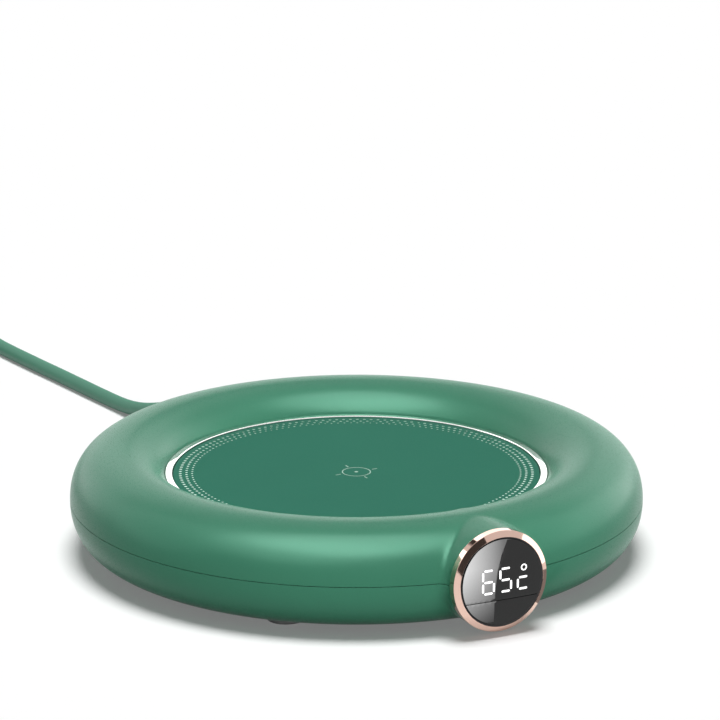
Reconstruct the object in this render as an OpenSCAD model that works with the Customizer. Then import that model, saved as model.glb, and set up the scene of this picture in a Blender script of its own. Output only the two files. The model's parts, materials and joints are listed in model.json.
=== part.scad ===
// Electric mug warmer: a ring-shaped body with a sunk heating plate, a round display pod
// whose lens carries a push key, and a low-voltage lead with a USB-A plug.
// The origin is on the table, on the axis of the ring. The pod faces -Y and the lead leaves at +Y.

/* [Body] */
// Width of the tube section, measured radially
tube_w = 24.4; // [24:0.1:27]
// Height of the tube section
tube_h = 25; // [25:0.1:28]
// Squareness of the tube section, where 2 is an ellipse
tube_power = 2.2; // [2.1:0.05:2.5]
// Height of the well's rim above the widest line of the tube
rim_rise = 6.3; // [5.5:0.1:7]
// Gap between the tube and the table
ground_gap = 1.2; // [1:0.1:2]
// Wall thickness of both shells
shell_wall = 2; // [1.6:0.1:2.4]
// Thickness of the flat base
base_t = 2.2; // [2:0.1:2.6]
// Height of the flat base above the lowest line of the full tube section
base_cut = 0.3; // [0.2:0.05:0.35]
// Height of the locating lip at the parting line
lip_h = 1.5; // [1:0.1:2]
// Thickness of the locating lip
lip_t = 1; // [0.8:0.1:1.2]

/* [Heating plate] */
// Diameter of the heating plate
plate_d = 89.6; // [85:0.2:96]
// Thickness of the heating plate
plate_t = 1.6; // [1.2:0.1:2]
// Depth of the plate's top below the rim of the well
plate_drop = 0.35; // [0.25:0.05:0.6]
// Bevel round the plate's top edge
plate_bevel = 0.3; // [0.1:0.05:0.5]
// Width of the polished trim ring
trim_w = 1.8; // [1.4:0.1:2.4]
// Bevel along both top edges of the trim ring
trim_bevel = 0.15; // [0.1:0.05:0.25]
// Thickness of the silicone gasket under the plate
gasket_t = 0.8; // [0.6:0.1:1.2]
// Width of the silicone gasket
gasket_w = 1.6; // [1.2:0.1:2]
// Thickness of the ledge that carries the plate
ledge_t = 1.8; // [1.6:0.1:2.2]
// Width of the ledge under the plate's edge
ledge_w = 2.5; // [2.2:0.1:3]

/* [Heater stack] */
// Thickness of the film heater
heater_t = 0.6; // [0.4:0.1:0.8]
// Thickness of the felt insulation
felt_t = 2; // [1.6:0.1:2.2]
// Diameter of the hole in the middle of the heater and the felt
core_d = 12; // [10:0.5:14]
// Thickness of the pressed steel bracket
bracket_t = 1; // [0.8:0.1:1.2]
// How far the bracket reaches under the ledge
bracket_grip = 3.2; // [2.6:0.1:3.4]
// Number of studs that hold the bracket to the plate
stud_count = 3; // [3:1:5]
// Radius of the circle of studs
stud_ring_r = 28; // [24:1:32]
// Diameter of a stud
stud_d = 5; // [4.4:0.1:5.6]
// Diameter of the bead of the temperature sensor
bead_d = 3; // [2.4:0.1:3.4]
// Diameter of the thermal fuse
fuse_d = 1.8; // [1.4:0.1:2]
// Length of the thermal fuse
fuse_l = 9; // [7:0.5:12]

/* [Display pod] */
// Outer diameter of the bezel ring
bezel_d = 24.8; // [24.4:0.1:24.9]
// Depth of the bezel's polished side band
band_h = 2; // [1.6:0.1:2.6]
// How far the front edge of the side band stands out of the tube
pod_out = 3.4; // [3:0.1:4.5]
// Height of the bezel's sloping face
face_rise = 0.85; // [0.6:0.05:1.1]
// Diameter of the lens
lens_d = 21.2; // [20.8:0.1:21.4]
// Rise of the domed lens at its centre
lens_dome = 0.3; // [0.15:0.05:0.5]
// Thickness of the fixed part of the lens at its edge
window_t = 1.7; // [1.5:0.1:2]
// Step of the barrel behind the bezel's side band
barrel_step = 0.1; // [0.1:0.05:0.4]
// Wall of the barrel that carries the bezel
barrel_wall = 1.6; // [1.4:0.1:1.8]
// How far the barrel runs back from the bezel into the tube
barrel_l = 11.4; // [11:0.2:12]
// Length of the bezel's spigot in the barrel
spigot_l = 5; // [4.5:0.1:5.4]
// Wall of the bezel's spigot
spigot_wall = 0.8; // [0.6:0.1:1]
// Thickness of the black light mask behind the lens
mask_t = 1.4; // [1.2:0.1:1.6]
// Width of the digit display
digits_w = 14.8; // [14:0.2:15.4]
// Height of the digit display
digits_h = 8; // [7.4:0.2:8.2]
// Height of the digit display's middle above the pod's axis
digits_up = 0.6; // [0.4:0.1:1]
// Thickness of the digit display
digits_t = 4.5; // [4:0.1:4.7]
// Thickness of the display board
display_board_t = 1.2; // [1:0.1:1.4]

/* [Mode key] */
// Distance of the seam below the pod's axis
seam_drop = 4.4; // [4.2:0.1:4.8]
// Width of the seam between the window and the key
seam_w = 0.2; // [0.15:0.05:0.3]
// Travel of the key
key_travel = 0.5; // [0.3:0.05:0.6]
// Width of the key's stem
stem_w = 6; // [5:0.2:6.4]
// Height of the key's stem
stem_h = 2.2; // [1.8:0.1:2.4]
// Overhang of the stop collar round the stem
collar_out = 0.5; // [0.4:0.1:0.6]
// Thickness of the stop collar
collar_t = 0.6; // [0.5:0.1:0.8]
// Width of the switch
switch_w = 6; // [5:0.2:6]
// Height of the switch
switch_h = 3.6; // [3.2:0.1:3.6]
// Diameter of the switch's plunger
plunger_d = 2; // [1.6:0.1:2.4]

/* [Fastening] */
// Number of housing screws, each under a foot
screw_count = 4; // [4:2:4]
// Radius of the circle of housing screws
screw_ring_r = 55; // [54:0.5:56]
// Diameter of a post in the upper shell
post_d = 6; // [5.4:0.2:6.4]
// Diameter of a housing screw's shank
screw_d = 2.6; // [2.2:0.1:3]
// Diameter of a housing screw's head
screw_head_d = 5.2; // [4.8:0.1:5.6]
// Height of a housing screw's head
screw_head_h = 2; // [1.6:0.1:2.2]
// Length of a housing screw's shank
screw_l = 9; // [8:0.5:11]
// Wall round the posts and screw heads
boss_wall = 1.3; // [1.1:0.1:1.6]
// Web under a housing screw's head
boss_web = 1.4; // [1.2:0.1:1.8]
// Depth of the socket that a post sits in
socket_h = 2.2; // [1.8:0.1:2.6]
// Diameter of a small screw's shank
small_screw_d = 2; // [1.8:0.1:2.2]
// Diameter of a small screw's head
small_head_d = 3.8; // [3.6:0.1:4.2]
// Height of a small screw's head
small_head_h = 1.3; // [1.1:0.1:1.4]

/* [Electronics] */
// Width of the control board
board_w = 54; // [50:1:58]
// Depth of the control board
board_d = 34; // [32:1:38]
// Thickness of the control board
board_t = 1.6; // [1.2:0.1:1.8]
// Height of the board's bosses above the base
board_rise = 2.6; // [2.4:0.1:2.8]
// Distance of the board's screws from its edges
board_inset = 4; // [3.6:0.1:4.6]
// Spacing of the parts on the control board
part_pitch = 10; // [9.6:0.1:10.4]
// Width of a wire connector
plug_in_w = 6.4; // [6:0.2:7]
// Depth of a wire connector
plug_in_d = 5; // [4.6:0.1:5.4]
// Height of a wire connector
plug_in_h = 3.4; // [3:0.1:3.6]
// Diameter of an insulated wire
wire_d = 1.4; // [1.2:0.1:1.6]
// Width of the display's ribbon cable
ribbon_w = 5; // [4:0.2:5]
// Thickness of the display's ribbon cable
ribbon_t = 0.8; // [0.6:0.1:1]

/* [Feet] */
// Diameter of a rubber foot
foot_d = 10; // [9:0.5:11]
// Depth of the recess that holds a foot
foot_recess = 1.1; // [0.9:0.1:1.2]
// Rounding of a foot's lower edge
foot_bevel = 0.5; // [0.3:0.1:0.7]

/* [Power cord] */
// Diameter of the lead
cord_d = 3.8; // [3.6:0.1:4]
// Largest diameter of the strain relief outside the body
boot_d = 8.4; // [8:0.2:9]
// Diameter of the strain relief at its outer end
boot_end_d = 5.4; // [5:0.2:6]
// How far the strain relief stands out of the body
boot_out = 5.5; // [5:0.1:5.5]
// Number of flex grooves round the strain relief
boot_grooves = 2; // [1:1:3]
// Diameter of the strain relief's inner flange
flange_d = 11.6; // [10.8:0.2:12]
// Width of the cord clamp
clamp_w = 18; // [17:0.5:20]
// Depth of the cord clamp
clamp_d = 6; // [5:0.5:7]
// Thickness of the cord clamp above the lead's middle
clamp_t = 3.2; // [2.8:0.1:3.6]
// Distance of the clamp screws from the lead's middle
clamp_screw_x = 5.6; // [5:0.2:6.2]
// Radius of the coil's outermost turn
coil_out_r = 28; // [27:0.5:28]
// Radius of the coil's innermost turn
coil_in_r = 16; // [15:0.5:17]
// Distance between the coil's two layers
coil_layer = 3.9; // [3.8:0.1:4]
// Width of a cord tie
tie_w = 6; // [4:0.5:8]
// Thickness of a cord tie
tie_t = 0.5; // [0.4:0.1:0.6]

/* [USB plug] */
// Width of the plug's grip
grip_w = 15.6; // [15:0.2:17]
// Thickness of the plug's grip
grip_t = 7.8; // [7.4:0.1:8.6]
// Length of the plug's grip
grip_l = 26; // [22:1:30]
// Length of the grip's tapered tail
grip_tail_l = 9; // [7:0.5:12]
// Corner radius of the plug's grip
grip_round = 2.4; // [1.6:0.2:3]
// Width of the metal plug shell
usb_w = 12; // [12:0.1:12]
// Height of the metal plug shell
usb_h = 4.5; // [4.5:0.1:4.5]
// Length of the metal plug shell outside the grip
usb_l = 11.8; // [11.6:0.1:12]
// Wall of the metal plug shell
usb_wall = 0.3; // [0.25:0.05:0.4]
// Thickness of the contact tongue
tongue_t = 1.8; // [1.7:0.05:1.9]

/* [Fits] */
// Gap round parts that are dropped into a seat
seat_gap = 0.15; // [0.1:0.01:0.2]
// Gap round parts that slide
slide_gap = 0.15; // [0.1:0.01:0.2]
// Gap between a screw's shank and the hole that it holds in
thread_gap = 0.05; // [0.03:0.01:0.08]
// Gap between a screw and a clearance hole
clear_gap = 0.3; // [0.2:0.05:0.4]
// Extra depth that cutting shapes run past a face
cut_over = 1; // [0.5:0.1:2]

/* [Hidden] */
$fn = 96;

// Colours of the finishes
green = "#4f8a70";
plate_green = "#38765f";
chrome = "#d8dadc";
rose_gold = "#d9a48f";
gloss_black = "#18191b";
dark_plastic = "#2a2b2d";
steel = "#a9adb1";
silicone = "#8c8f8d";
felt = "#cfc7b4";
amber_film = "#b8762a";
board_green = "#1f5c3a";
white_plastic = "#e8e8e4";
brass = "#c9a54a";
red_wire = "#b03028";

// Tube section and the rings that follow from it
tube_a = tube_w / 2;
tube_b = tube_h / 2;
arc_steps = 16;
plate_r = plate_d / 2;
trim_in_r = plate_r + seat_gap;
trim_out_r = trim_in_r + trim_w;
rim_r = trim_out_r + seat_gap;
ring_r = rim_r + tube_a * pow(1 - pow(rim_rise / tube_b, tube_power), 1 / tube_power);
body_r = ring_r + tube_a;
mid_z = ground_gap + tube_b;
rim_z = mid_z + rim_rise;
base_z = ground_gap + base_cut;
floor_z = base_z + base_t;
lip_r = body_r - lip_t;

// Heater stack, from the plate down
plate_z = rim_z - plate_drop;
plate_under = plate_z - plate_t;
ledge_z = plate_under - gasket_t;
ledge_under = ledge_z - ledge_t;
ledge_r = plate_r - ledge_w;
heater_r = ledge_r - 1.6;
heater_z = plate_under - heater_t;
felt_z = ledge_under;
bracket_r = ledge_r + bracket_grip;
stud_end = felt_z + thread_gap;

// Display pod, as distances from the ring's axis
pod_reach = body_r + pod_out;
bezel_r = bezel_d / 2;
lens_r = lens_d / 2;
barrel_front = pod_reach - band_h;
barrel_root = barrel_front - barrel_l;
barrel_r = bezel_r - barrel_step;
bore_r = barrel_r - barrel_wall;
spigot_r = bore_r - thread_gap;
spigot_in_r = spigot_r - spigot_wall;
spigot_end = barrel_front - spigot_l;
lens_edge = pod_reach + face_rise - slide_gap;
window_seat = lens_edge - window_t;
dome_steps = 6;
key_cap_back = window_seat + key_travel + slide_gap;
mask_front = window_seat - thread_gap;
mask_back = mask_front - mask_t;
collar_front = mask_back - slide_gap;
collar_back = collar_front - collar_t;
display_board_front = spigot_end - slide_gap;
display_board_back = display_board_front - display_board_t;
switch_front = collar_back - key_travel - clear_gap;
plunger_back = switch_front - 1.2;
key_middle = -(seam_drop + lens_r) / 2 + 0.5;

// Posts, bosses and screws
screw_angles = [for (i = [0:screw_count - 1]) 45 + i * 360 / screw_count];
post_r = post_d / 2;
screw_seat = base_z + foot_recess + screw_head_h + clear_gap;
post_foot = screw_seat + boss_web;
boss_top = post_foot + socket_h;
boss_r = post_r + seat_gap + boss_wall;
stud_angles = [for (i = [0:stud_count - 1]) 90 + i * 360 / stud_count];

// Control board
board_z = floor_z + board_rise;
board_top = board_z + board_t;
board_y = 2;
board_screw_x = board_w / 2 - board_inset;
board_screw_y = board_d / 2 - board_inset;
front_plug_y = board_y - board_d / 2 + plug_in_d / 2 + 0.5;
rear_plug_y = board_y + board_d / 2 - plug_in_d / 2 - 0.5;
heater_plug_x = -12;
drop_y = stud_d - stud_ring_r;
header_w = 8;
header_h = 3;
header_t = 2.2;

// Cord, boot and clamp
cord_r = cord_d / 2;
boot_neck_r = boot_d / 2;
boot_tip = body_r + boot_out;
boot_shoulder = body_r + 0.3;
flange_front = ring_r + tube_a - shell_wall - 1.6;
flange_t = 1.4;
clamp_y = ring_r - 3;
clamp_gap = 0.4;
inner_cord_end = rim_r + shell_wall + 2 * clear_gap;

// Route of the free lead from the strain relief to the coil, and from the coil to the plug
cord_route = [[0, 75.5, 13.7], [0, 77.5, 13.7], [0, 82, 13.5], [-0.3, 88, 12.5], [-0.7, 96, 10.3],
    [-1.1, 104, 7.5], [-1.7, 112, 4.9], [-2.3, 120, 3], [-3, 128, 2.1], [-4, 138, 1.9],
    [-5, 148, 1.9], [-6.2, 160, 1.9], [-7.4, 171, 1.9], [-8.5, 182, 1.9], [-9.3, 192, 1.9],
    [-9.4, 201, 2], [-9, 210, 2.2], [-8.6, 218, 2.4]];
tail_route = [[-56.4, 249.6, 6.3], [-62.6, 245.8, 6], [-68.2, 240.6, 5], [-72.8, 234, 4],
    [-75.8, 226.5, 3], [-77.2, 218.5, 2.4], [-77, 210, 2], [-75.4, 202, 1.9],
    [-72.6, 194, 1.9], [-70.6, 186.5, 2.2], [-69.7, 179, 2.9], [-69.5, 171, 3.7],
    [-69.5, 165, 3.9], [-69.5, 163, 3.9]];
coil_centre = [-40.5, 222];
plug_place = [-69.5, 163, 3.9];
tie_angles = [60, 240];
tube_sides = 8;

// ---------------------------------------------------------------- helpers

// A signed power, so that a section keeps its four-way symmetry
function signed_pow(v, p) = sign(v) * pow(abs(v), p);

// Point of the tube section at an angle, drawn in by a distance
function tube_point(t, inset = 0) = [
    ring_r + (tube_a - inset) * signed_pow(cos(t), 2 / tube_power),
    mid_z + (tube_b - inset) * signed_pow(sin(t), 2 / tube_power)];

function tube_arc(from, to, inset = 0) =
    [for (i = [0:arc_steps]) tube_point(from + (to - from) * i / arc_steps, inset)];

// Angle at which the section's inner flank reaches a radius
function flank_angle(r, inset = 0) =
    180 - acos(pow((ring_r - r) / (tube_a - inset), tube_power / 2));

// Angle at which the section's outer flank reaches a height
function height_angle(z, inset = 0) =
    sign(z - mid_z) * asin(pow(abs(z - mid_z) / (tube_b - inset), tube_power / 2));

// Children stand on the pod's axis: +Z outwards, +Y up, at a distance from the ring's axis
module on_pod_axis(distance) {
    translate([0, -distance, mid_z]) rotate([90, 0, 0]) children();
}

// Children stand on the lead's axis: +Z outwards, at a distance from the ring's axis
module on_cord_axis(distance) {
    translate([0, distance, mid_z]) rotate([-90, 0, 0]) rotate([0, 0, 90]) children();
}

// Everything above the parting plane, near the pod
module above_parting() {
    translate([-body_r, -2 * body_r, mid_z]) cube([2 * body_r, 2 * body_r, body_r]);
}

module below_parting() {
    translate([-body_r, -2 * body_r, mid_z - body_r]) cube([2 * body_r, 2 * body_r, body_r]);
}

module at_screws() {
    for (a = screw_angles) rotate([0, 0, a]) translate([screw_ring_r, 0, 0]) children();
}

module at_studs() {
    for (a = stud_angles) rotate([0, 0, a]) translate([stud_ring_r, 0, 0]) children();
}

module at_board_screws() {
    for (x = [-1, 1], y = [-1, 1])
        translate([x * board_screw_x, board_y + y * board_screw_y, 0]) children();
}

// A flat ring between two radii
module flat_ring(inner_r, outer_r, height) {
    difference() {
        cylinder(r = outer_r, h = height);
        translate([0, 0, -cut_over]) cylinder(r = inner_r, h = height + 2 * cut_over);
    }
}

// A box centred in X and Y that stands on Z = 0
module block(size) {
    translate([-size[0] / 2, -size[1] / 2, 0]) cube(size);
}

// A pan-head screw that points up, with the underside of its head at Z = 0
module screw(shank_d, shank_l, head_d, head_h) {
    cylinder(d = shank_d, h = shank_l);
    rotate([180, 0, 0]) difference() {
        cylinder(d = head_d, h = head_h);
        for (a = [0, 90]) rotate([0, 0, a])
            translate([0, 0, head_h / 2]) block([head_d * 0.6, head_h * 0.3, head_h]);
    }
}

// Sweep of a round tube along a list of points
function unit(v) = v / norm(v);
function path_dir(p, i) = unit(p[min(i + 1, len(p) - 1)] - p[max(i - 1, 0)]);
function ring_points(p, i, r, n, ref) =
    let (d = path_dir(p, i), s = unit(cross(d, ref)), u = cross(s, d))
    [for (k = [0:n - 1]) p[i] + r * (cos(k * 360 / n) * s + sin(k * 360 / n) * u)];

module swept_tube(p, diameter, sides = tube_sides, ref = [0, 0, 1]) {
    n = sides;
    last = len(p) - 1;
    points = [for (i = [0:last]) each ring_points(p, i, diameter / 2, n, ref)];
    walls = [for (i = [0:last - 1], k = [0:n - 1])
        [i * n + k, i * n + (k + 1) % n, (i + 1) * n + (k + 1) % n, (i + 1) * n + k]];
    start = [[for (k = [n - 1:-1:0]) k]];
    finish = [[for (k = [0:n - 1]) last * n + k]];
    polyhedron(points = points, faces = concat(walls, start, finish), convexity = 4);
}

// ---------------------------------------------------------------- casing

module upper_section() {
    lip_top = mid_z + lip_h + seat_gap;
    polygon(concat(
        tube_arc(0, flank_angle(rim_r)),
        [[rim_r, ledge_z], [ledge_r, ledge_z], [ledge_r, ledge_under],
         [rim_r + shell_wall, ledge_under]],
        tube_arc(flank_angle(rim_r + shell_wall, shell_wall), height_angle(lip_top, shell_wall),
                 shell_wall),
        [[lip_r + seat_gap, lip_top], [lip_r + seat_gap, mid_z]]));
}

// Posts that grow into the roof of the tube
module posts() {
    intersection() {
        at_screws() translate([0, 0, post_foot]) cylinder(r = post_r, h = tube_h);
        rotate_extrude() polygon(concat(tube_arc(0, 180, shell_wall / 2),
            [[ring_r - tube_a, base_z], [ring_r + tube_a, base_z]]));
    }
}

module barrel() {
    on_pod_axis(barrel_root) cylinder(r = barrel_r, h = barrel_l);
}

module barrel_bore() {
    on_pod_axis(barrel_root - cut_over) cylinder(r = bore_r, h = barrel_l + 2 * cut_over);
}

// Room for the bezel in front of the barrel
module bezel_room() {
    on_pod_axis(barrel_front) cylinder(r = bezel_r + seat_gap, h = tube_w);
}

module cord_outlet() {
    on_cord_axis(ring_r) cylinder(r = boot_neck_r + seat_gap, h = tube_w);
}

module upper_shell() color(green) {
    difference() {
        union() {
            rotate_extrude() upper_section();
            intersection() {
                barrel();
                above_parting();
            }
            posts();
        }
        barrel_bore();
        bezel_room();
        cord_outlet();
        at_screws() translate([0, 0, post_foot - cut_over])
            cylinder(d = screw_d + 2 * thread_gap, h = screw_l + cut_over);
    }
}

module lower_section() {
    polygon(concat(
        [[0, base_z]],
        tube_arc(height_angle(base_z), 0),
        [[lip_r, mid_z], [lip_r, mid_z + lip_h], [body_r - shell_wall, mid_z + lip_h]],
        tube_arc(0, height_angle(floor_z, shell_wall), shell_wall),
        [[0, floor_z]]));
}

module clamp_pedestal() {
    translate([0, clamp_y, floor_z]) block([clamp_w, clamp_d, mid_z - clamp_gap / 2 - floor_z]);
}

module clamp_groove() {
    on_cord_axis(clamp_y - clamp_d) cylinder(r = cord_r + thread_gap, h = 2 * clamp_d);
}

module lower_shell() color(green) {
    difference() {
        union() {
            rotate_extrude() lower_section();
            intersection() {
                barrel();
                below_parting();
            }
            at_screws() translate([0, 0, base_z]) cylinder(r = boss_r, h = boss_top - base_z);
            at_board_screws() translate([0, 0, floor_z])
                cylinder(d = small_screw_d + 2 * boss_wall, h = board_rise);
            clamp_pedestal();
        }
        barrel_bore();
        intersection() {
            on_pod_axis(barrel_root) cylinder(r = barrel_r + seat_gap, h = barrel_l + cut_over);
            above_parting();
        }
        bezel_room();
        cord_outlet();
        clamp_groove();
        clamp_screw_holes();
        at_screws() {
            translate([0, 0, base_z - cut_over])
                cylinder(d = foot_d + 2 * seat_gap, h = foot_recess + cut_over);
            translate([0, 0, base_z]) cylinder(d = screw_head_d + 2 * seat_gap, h = screw_seat - base_z);
            translate([0, 0, base_z]) cylinder(d = screw_d + 2 * clear_gap, h = post_foot);
            translate([0, 0, post_foot]) cylinder(r = post_r + seat_gap, h = socket_h + cut_over);
        }
        at_board_screws() translate([0, 0, floor_z - base_t / 2])
            cylinder(d = small_screw_d + 2 * thread_gap, h = board_rise + base_t);
    }
}

module rubber_feet() color(dark_plastic) {
    foot_r = foot_d / 2;
    at_screws() rotate_extrude() polygon([[0, 0], [foot_r - foot_bevel, 0], [foot_r, foot_bevel],
        [foot_r, base_z + foot_recess], [0, base_z + foot_recess]]);
}

module housing_screws() color(steel) {
    at_screws() translate([0, 0, screw_seat]) screw(screw_d, screw_l, screw_head_d, screw_head_h);
}

// ---------------------------------------------------------------- heating plate and heater

module trim_ring() color(chrome) {
    top = rim_z - thread_gap;
    rotate_extrude() polygon([[trim_in_r, ledge_z], [trim_out_r, ledge_z],
        [trim_out_r, top - trim_bevel], [trim_out_r - trim_bevel, top],
        [trim_in_r + trim_bevel, top], [trim_in_r, top - trim_bevel]]);
}

module heating_plate() color(plate_green) {
    difference() {
        union() {
            rotate_extrude() polygon([[0, plate_under], [plate_r, plate_under],
                [plate_r, plate_z - plate_bevel], [plate_r - plate_bevel, plate_z], [0, plate_z]]);
            at_studs() translate([0, 0, stud_end])
                cylinder(d = stud_d, h = plate_under - stud_end + plate_t / 2);
        }
        at_studs() translate([0, 0, stud_end - cut_over])
            cylinder(d = small_screw_d + 2 * thread_gap, h = plate_under - stud_end + cut_over);
    }
}

module plate_gasket() color(silicone) {
    translate([0, 0, ledge_z])
        flat_ring(plate_r - gasket_w - seat_gap, plate_r - seat_gap, gasket_t);
}

// Holes for the studs through the heater and the felt
module stud_holes() {
    at_studs() translate([0, 0, felt_z - cut_over])
        cylinder(d = stud_d + 2 * clear_gap, h = heater_t + felt_t + 2 * cut_over);
}

module heating_element() color(amber_film) {
    difference() {
        translate([0, 0, heater_z]) flat_ring(core_d / 2, heater_r, heater_t);
        stud_holes();
    }
}

module lead_slot() {
    translate([heater_plug_x, drop_y, felt_z - cut_over])
        block([3 * wire_d + 2 * clear_gap, wire_d + 2 * clear_gap, felt_t + cut_over]);
}

module fuse_slot() {
    translate([0, -stud_ring_r / 2 - fuse_l / 2, felt_z - cut_over])
        block([fuse_d + 2 * clear_gap, fuse_l + 2 * clear_gap, felt_t + 2 * cut_over]);
}

module insulation_disc() color(felt) {
    difference() {
        translate([0, 0, felt_z]) flat_ring(core_d / 2, heater_r, heater_z - felt_z);
        stud_holes();
        fuse_slot();
        lead_slot();
    }
}

// Pressed plate with three windows between its spokes
module heater_bracket() color(steel) {
    window_in = stud_ring_r - stud_d * 2.4;
    window_out = stud_ring_r + stud_d * 1.2;
    spoke_w = stud_d * 2.6;
    difference() {
        translate([0, 0, felt_z - bracket_t]) cylinder(r = bracket_r, h = bracket_t);
        difference() {
            translate([0, 0, felt_z - bracket_t - cut_over])
                flat_ring(window_in, window_out, bracket_t + 2 * cut_over);
            for (a = stud_angles) rotate([0, 0, a])
                translate([stud_ring_r, 0, felt_z - bracket_t - 2 * cut_over])
                    block([stud_ring_r, spoke_w, bracket_t + 4 * cut_over]);
        }
        at_studs() translate([0, 0, felt_z - bracket_t - cut_over])
            cylinder(d = small_screw_d + 2 * clear_gap, h = bracket_t + 2 * cut_over);
        translate([0, 0, felt_z - bracket_t - cut_over])
            cylinder(d = bead_d, h = bracket_t + 2 * cut_over);
    }
}

module bracket_screws() color(steel) {
    at_studs() translate([0, 0, felt_z - bracket_t])
        screw(small_screw_d, bracket_t + felt_t + thread_gap, small_head_d, small_head_h);
}

module sensor_holder() color(silicone) {
    difference() {
        translate([0, 0, felt_z]) cylinder(d = core_d - 2 * seat_gap, h = heater_z - felt_z);
        translate([0, 0, felt_z - cut_over])
            cylinder(d = bead_d + 2 * thread_gap, h = felt_t + heater_t + cut_over);
    }
}

module temperature_sensor() color(gloss_black) {
    lead_x = bead_d / 4;
    translate([0, 0, heater_z - heater_t]) cylinder(d = bead_d, h = plate_under - heater_z + heater_t);
    for (x = [-lead_x, lead_x]) translate([x, 0, felt_z - bracket_t - cut_over])
        cylinder(d = bead_d / 4, h = heater_z - felt_z + bracket_t + cut_over);
}

module thermal_fuse() color(white_plastic) {
    translate([0, -stud_ring_r / 2, heater_z - fuse_d / 2])
        rotate([90, 0, 0]) cylinder(d = fuse_d, h = fuse_l);
}

// ---------------------------------------------------------------- display pod

// Solid that the fixed window and the key are both cut from
module lens_blank(back) {
    dome = [for (i = [0:dome_steps]) let (u = 1 - i / dome_steps)
        [lens_r * u, lens_edge + lens_dome * (1 - u * u)]];
    on_pod_axis(0) rotate_extrude() polygon(concat([[0, back], [lens_r, back]], dome));
}

// Half space above or below the seam across the lens
module seam_side(side) {
    z = mid_z - seam_drop + side * seam_w / 2 - (side < 0 ? tube_h : 0);
    translate([-tube_h, -2 * body_r, z]) cube([2 * tube_h, 2 * body_r, tube_h]);
}

module display_window() color(gloss_black) {
    intersection() {
        lens_blank(window_seat);
        seam_side(1);
    }
}

module mode_key() color(gloss_black) {
    intersection() {
        lens_blank(key_cap_back);
        seam_side(-1);
    }
    on_pod_axis(collar_back) translate([0, key_middle, 0]) {
        translate([-stem_w / 2, -stem_h / 2, 0])
            cube([stem_w, stem_h, (key_cap_back + lens_edge) / 2 - collar_back]);
        translate([-stem_w / 2 - collar_out, -stem_h / 2 - collar_out, 0])
            cube([stem_w + 2 * collar_out, stem_h + 2 * collar_out, collar_t]);
    }
}

module bezel_ring() color(rose_gold) {
    lens_bore = lens_r + slide_gap;
    on_pod_axis(0) rotate_extrude() polygon([
        [spigot_in_r, spigot_end], [spigot_r, spigot_end], [spigot_r, barrel_front],
        [bezel_r, barrel_front], [bezel_r, pod_reach],
        [lens_bore, pod_reach + face_rise], [lens_bore, window_seat],
        [spigot_in_r, window_seat]]);
}

module light_mask() color(dark_plastic) {
    view_w = digits_w - 1.6;
    view_h = digits_h - 1.6;
    on_pod_axis(mask_back) difference() {
        cylinder(r = spigot_in_r - thread_gap, h = mask_t);
        translate([-view_w / 2, digits_up - view_h / 2, -cut_over])
            cube([view_w, view_h, mask_t + 2 * cut_over]);
        translate([-stem_w / 2 - slide_gap, key_middle - stem_h / 2 - slide_gap, -cut_over])
            cube([stem_w + 2 * slide_gap, stem_h + 2 * slide_gap, mask_t + 2 * cut_over]);
    }
}

module digit_display() color(white_plastic) {
    on_pod_axis(display_board_front) translate([-digits_w / 2, digits_up - digits_h / 2, 0])
        cube([digits_w, digits_h, digits_t]);
}

module display_board() color(board_green) {
    on_pod_axis(display_board_back) cylinder(r = bore_r - seat_gap, h = display_board_t);
    on_pod_axis(display_board_back - header_t)
        translate([-header_w / 2, -header_h / 2, 0]) cube([header_w, header_h, header_t]);
}

module switch_body() color(dark_plastic) {
    on_pod_axis(display_board_front) translate([0, key_middle, 0]) difference() {
        translate([-switch_w / 2, -switch_h / 2, 0])
            cube([switch_w, switch_h, switch_front - display_board_front]);
        translate([0, 0, plunger_back - key_travel - slide_gap - display_board_front])
            cylinder(d = plunger_d + 2 * thread_gap, h = switch_front);
    }
}

module switch_plunger() color(white_plastic) {
    on_pod_axis(plunger_back) translate([0, key_middle, 0])
        cylinder(d = plunger_d, h = collar_back - plunger_back);
}

// ---------------------------------------------------------------- electronics

module control_board() color(board_green) {
    difference() {
        translate([0, board_y, board_z]) block([board_w, board_d, board_t]);
        at_board_screws() translate([0, 0, board_z - cut_over])
            cylinder(d = small_screw_d + 2 * clear_gap, h = board_t + 2 * cut_over);
    }
}

module board_screws() color(steel) {
    at_board_screws() translate([0, 0, board_top]) rotate([180, 0, 0])
        screw(small_screw_d, board_t + board_rise, small_head_d, small_head_h);
}

module board_components() color(dark_plastic) {
    chip = [9, 6, 1.6];
    coil = [7, 7, 3];
    switcher = [5, 4, 1.5];
    buzzer_d = 9;
    buzzer_h = 3.4;
    cap_d = 5;
    cap_h = 3.6;
    translate([0, board_y, board_top]) block(chip);
    translate([-2 * part_pitch, board_y, board_top]) block(coil);
    translate([-1.1 * part_pitch, board_y, board_top]) block(switcher);
    translate([1.8 * part_pitch, board_y, board_top]) cylinder(d = buzzer_d, h = buzzer_h);
    for (i = [0.9, 1.55]) translate([i * part_pitch, rear_plug_y - cap_d / 2, board_top])
        cylinder(d = cap_d, h = cap_h);
}

// A wire connector with an open mouth for its leads, which face +Y or -Y
module wire_socket(side) {
    mouth = 0.6;
    difference() {
        block([plug_in_w, plug_in_d, plug_in_h]);
        translate([0, side * plug_in_d / 2, mouth])
            block([plug_in_w - 2 * mouth, 2 * mouth, plug_in_h - 2 * mouth]);
    }
}

module board_connectors() color(white_plastic) {
    translate([0, rear_plug_y, board_top]) wire_socket(1);
    translate([0, front_plug_y, board_top]) wire_socket(-1);
    translate([heater_plug_x, front_plug_y, board_top]) wire_socket(-1);
}

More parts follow.
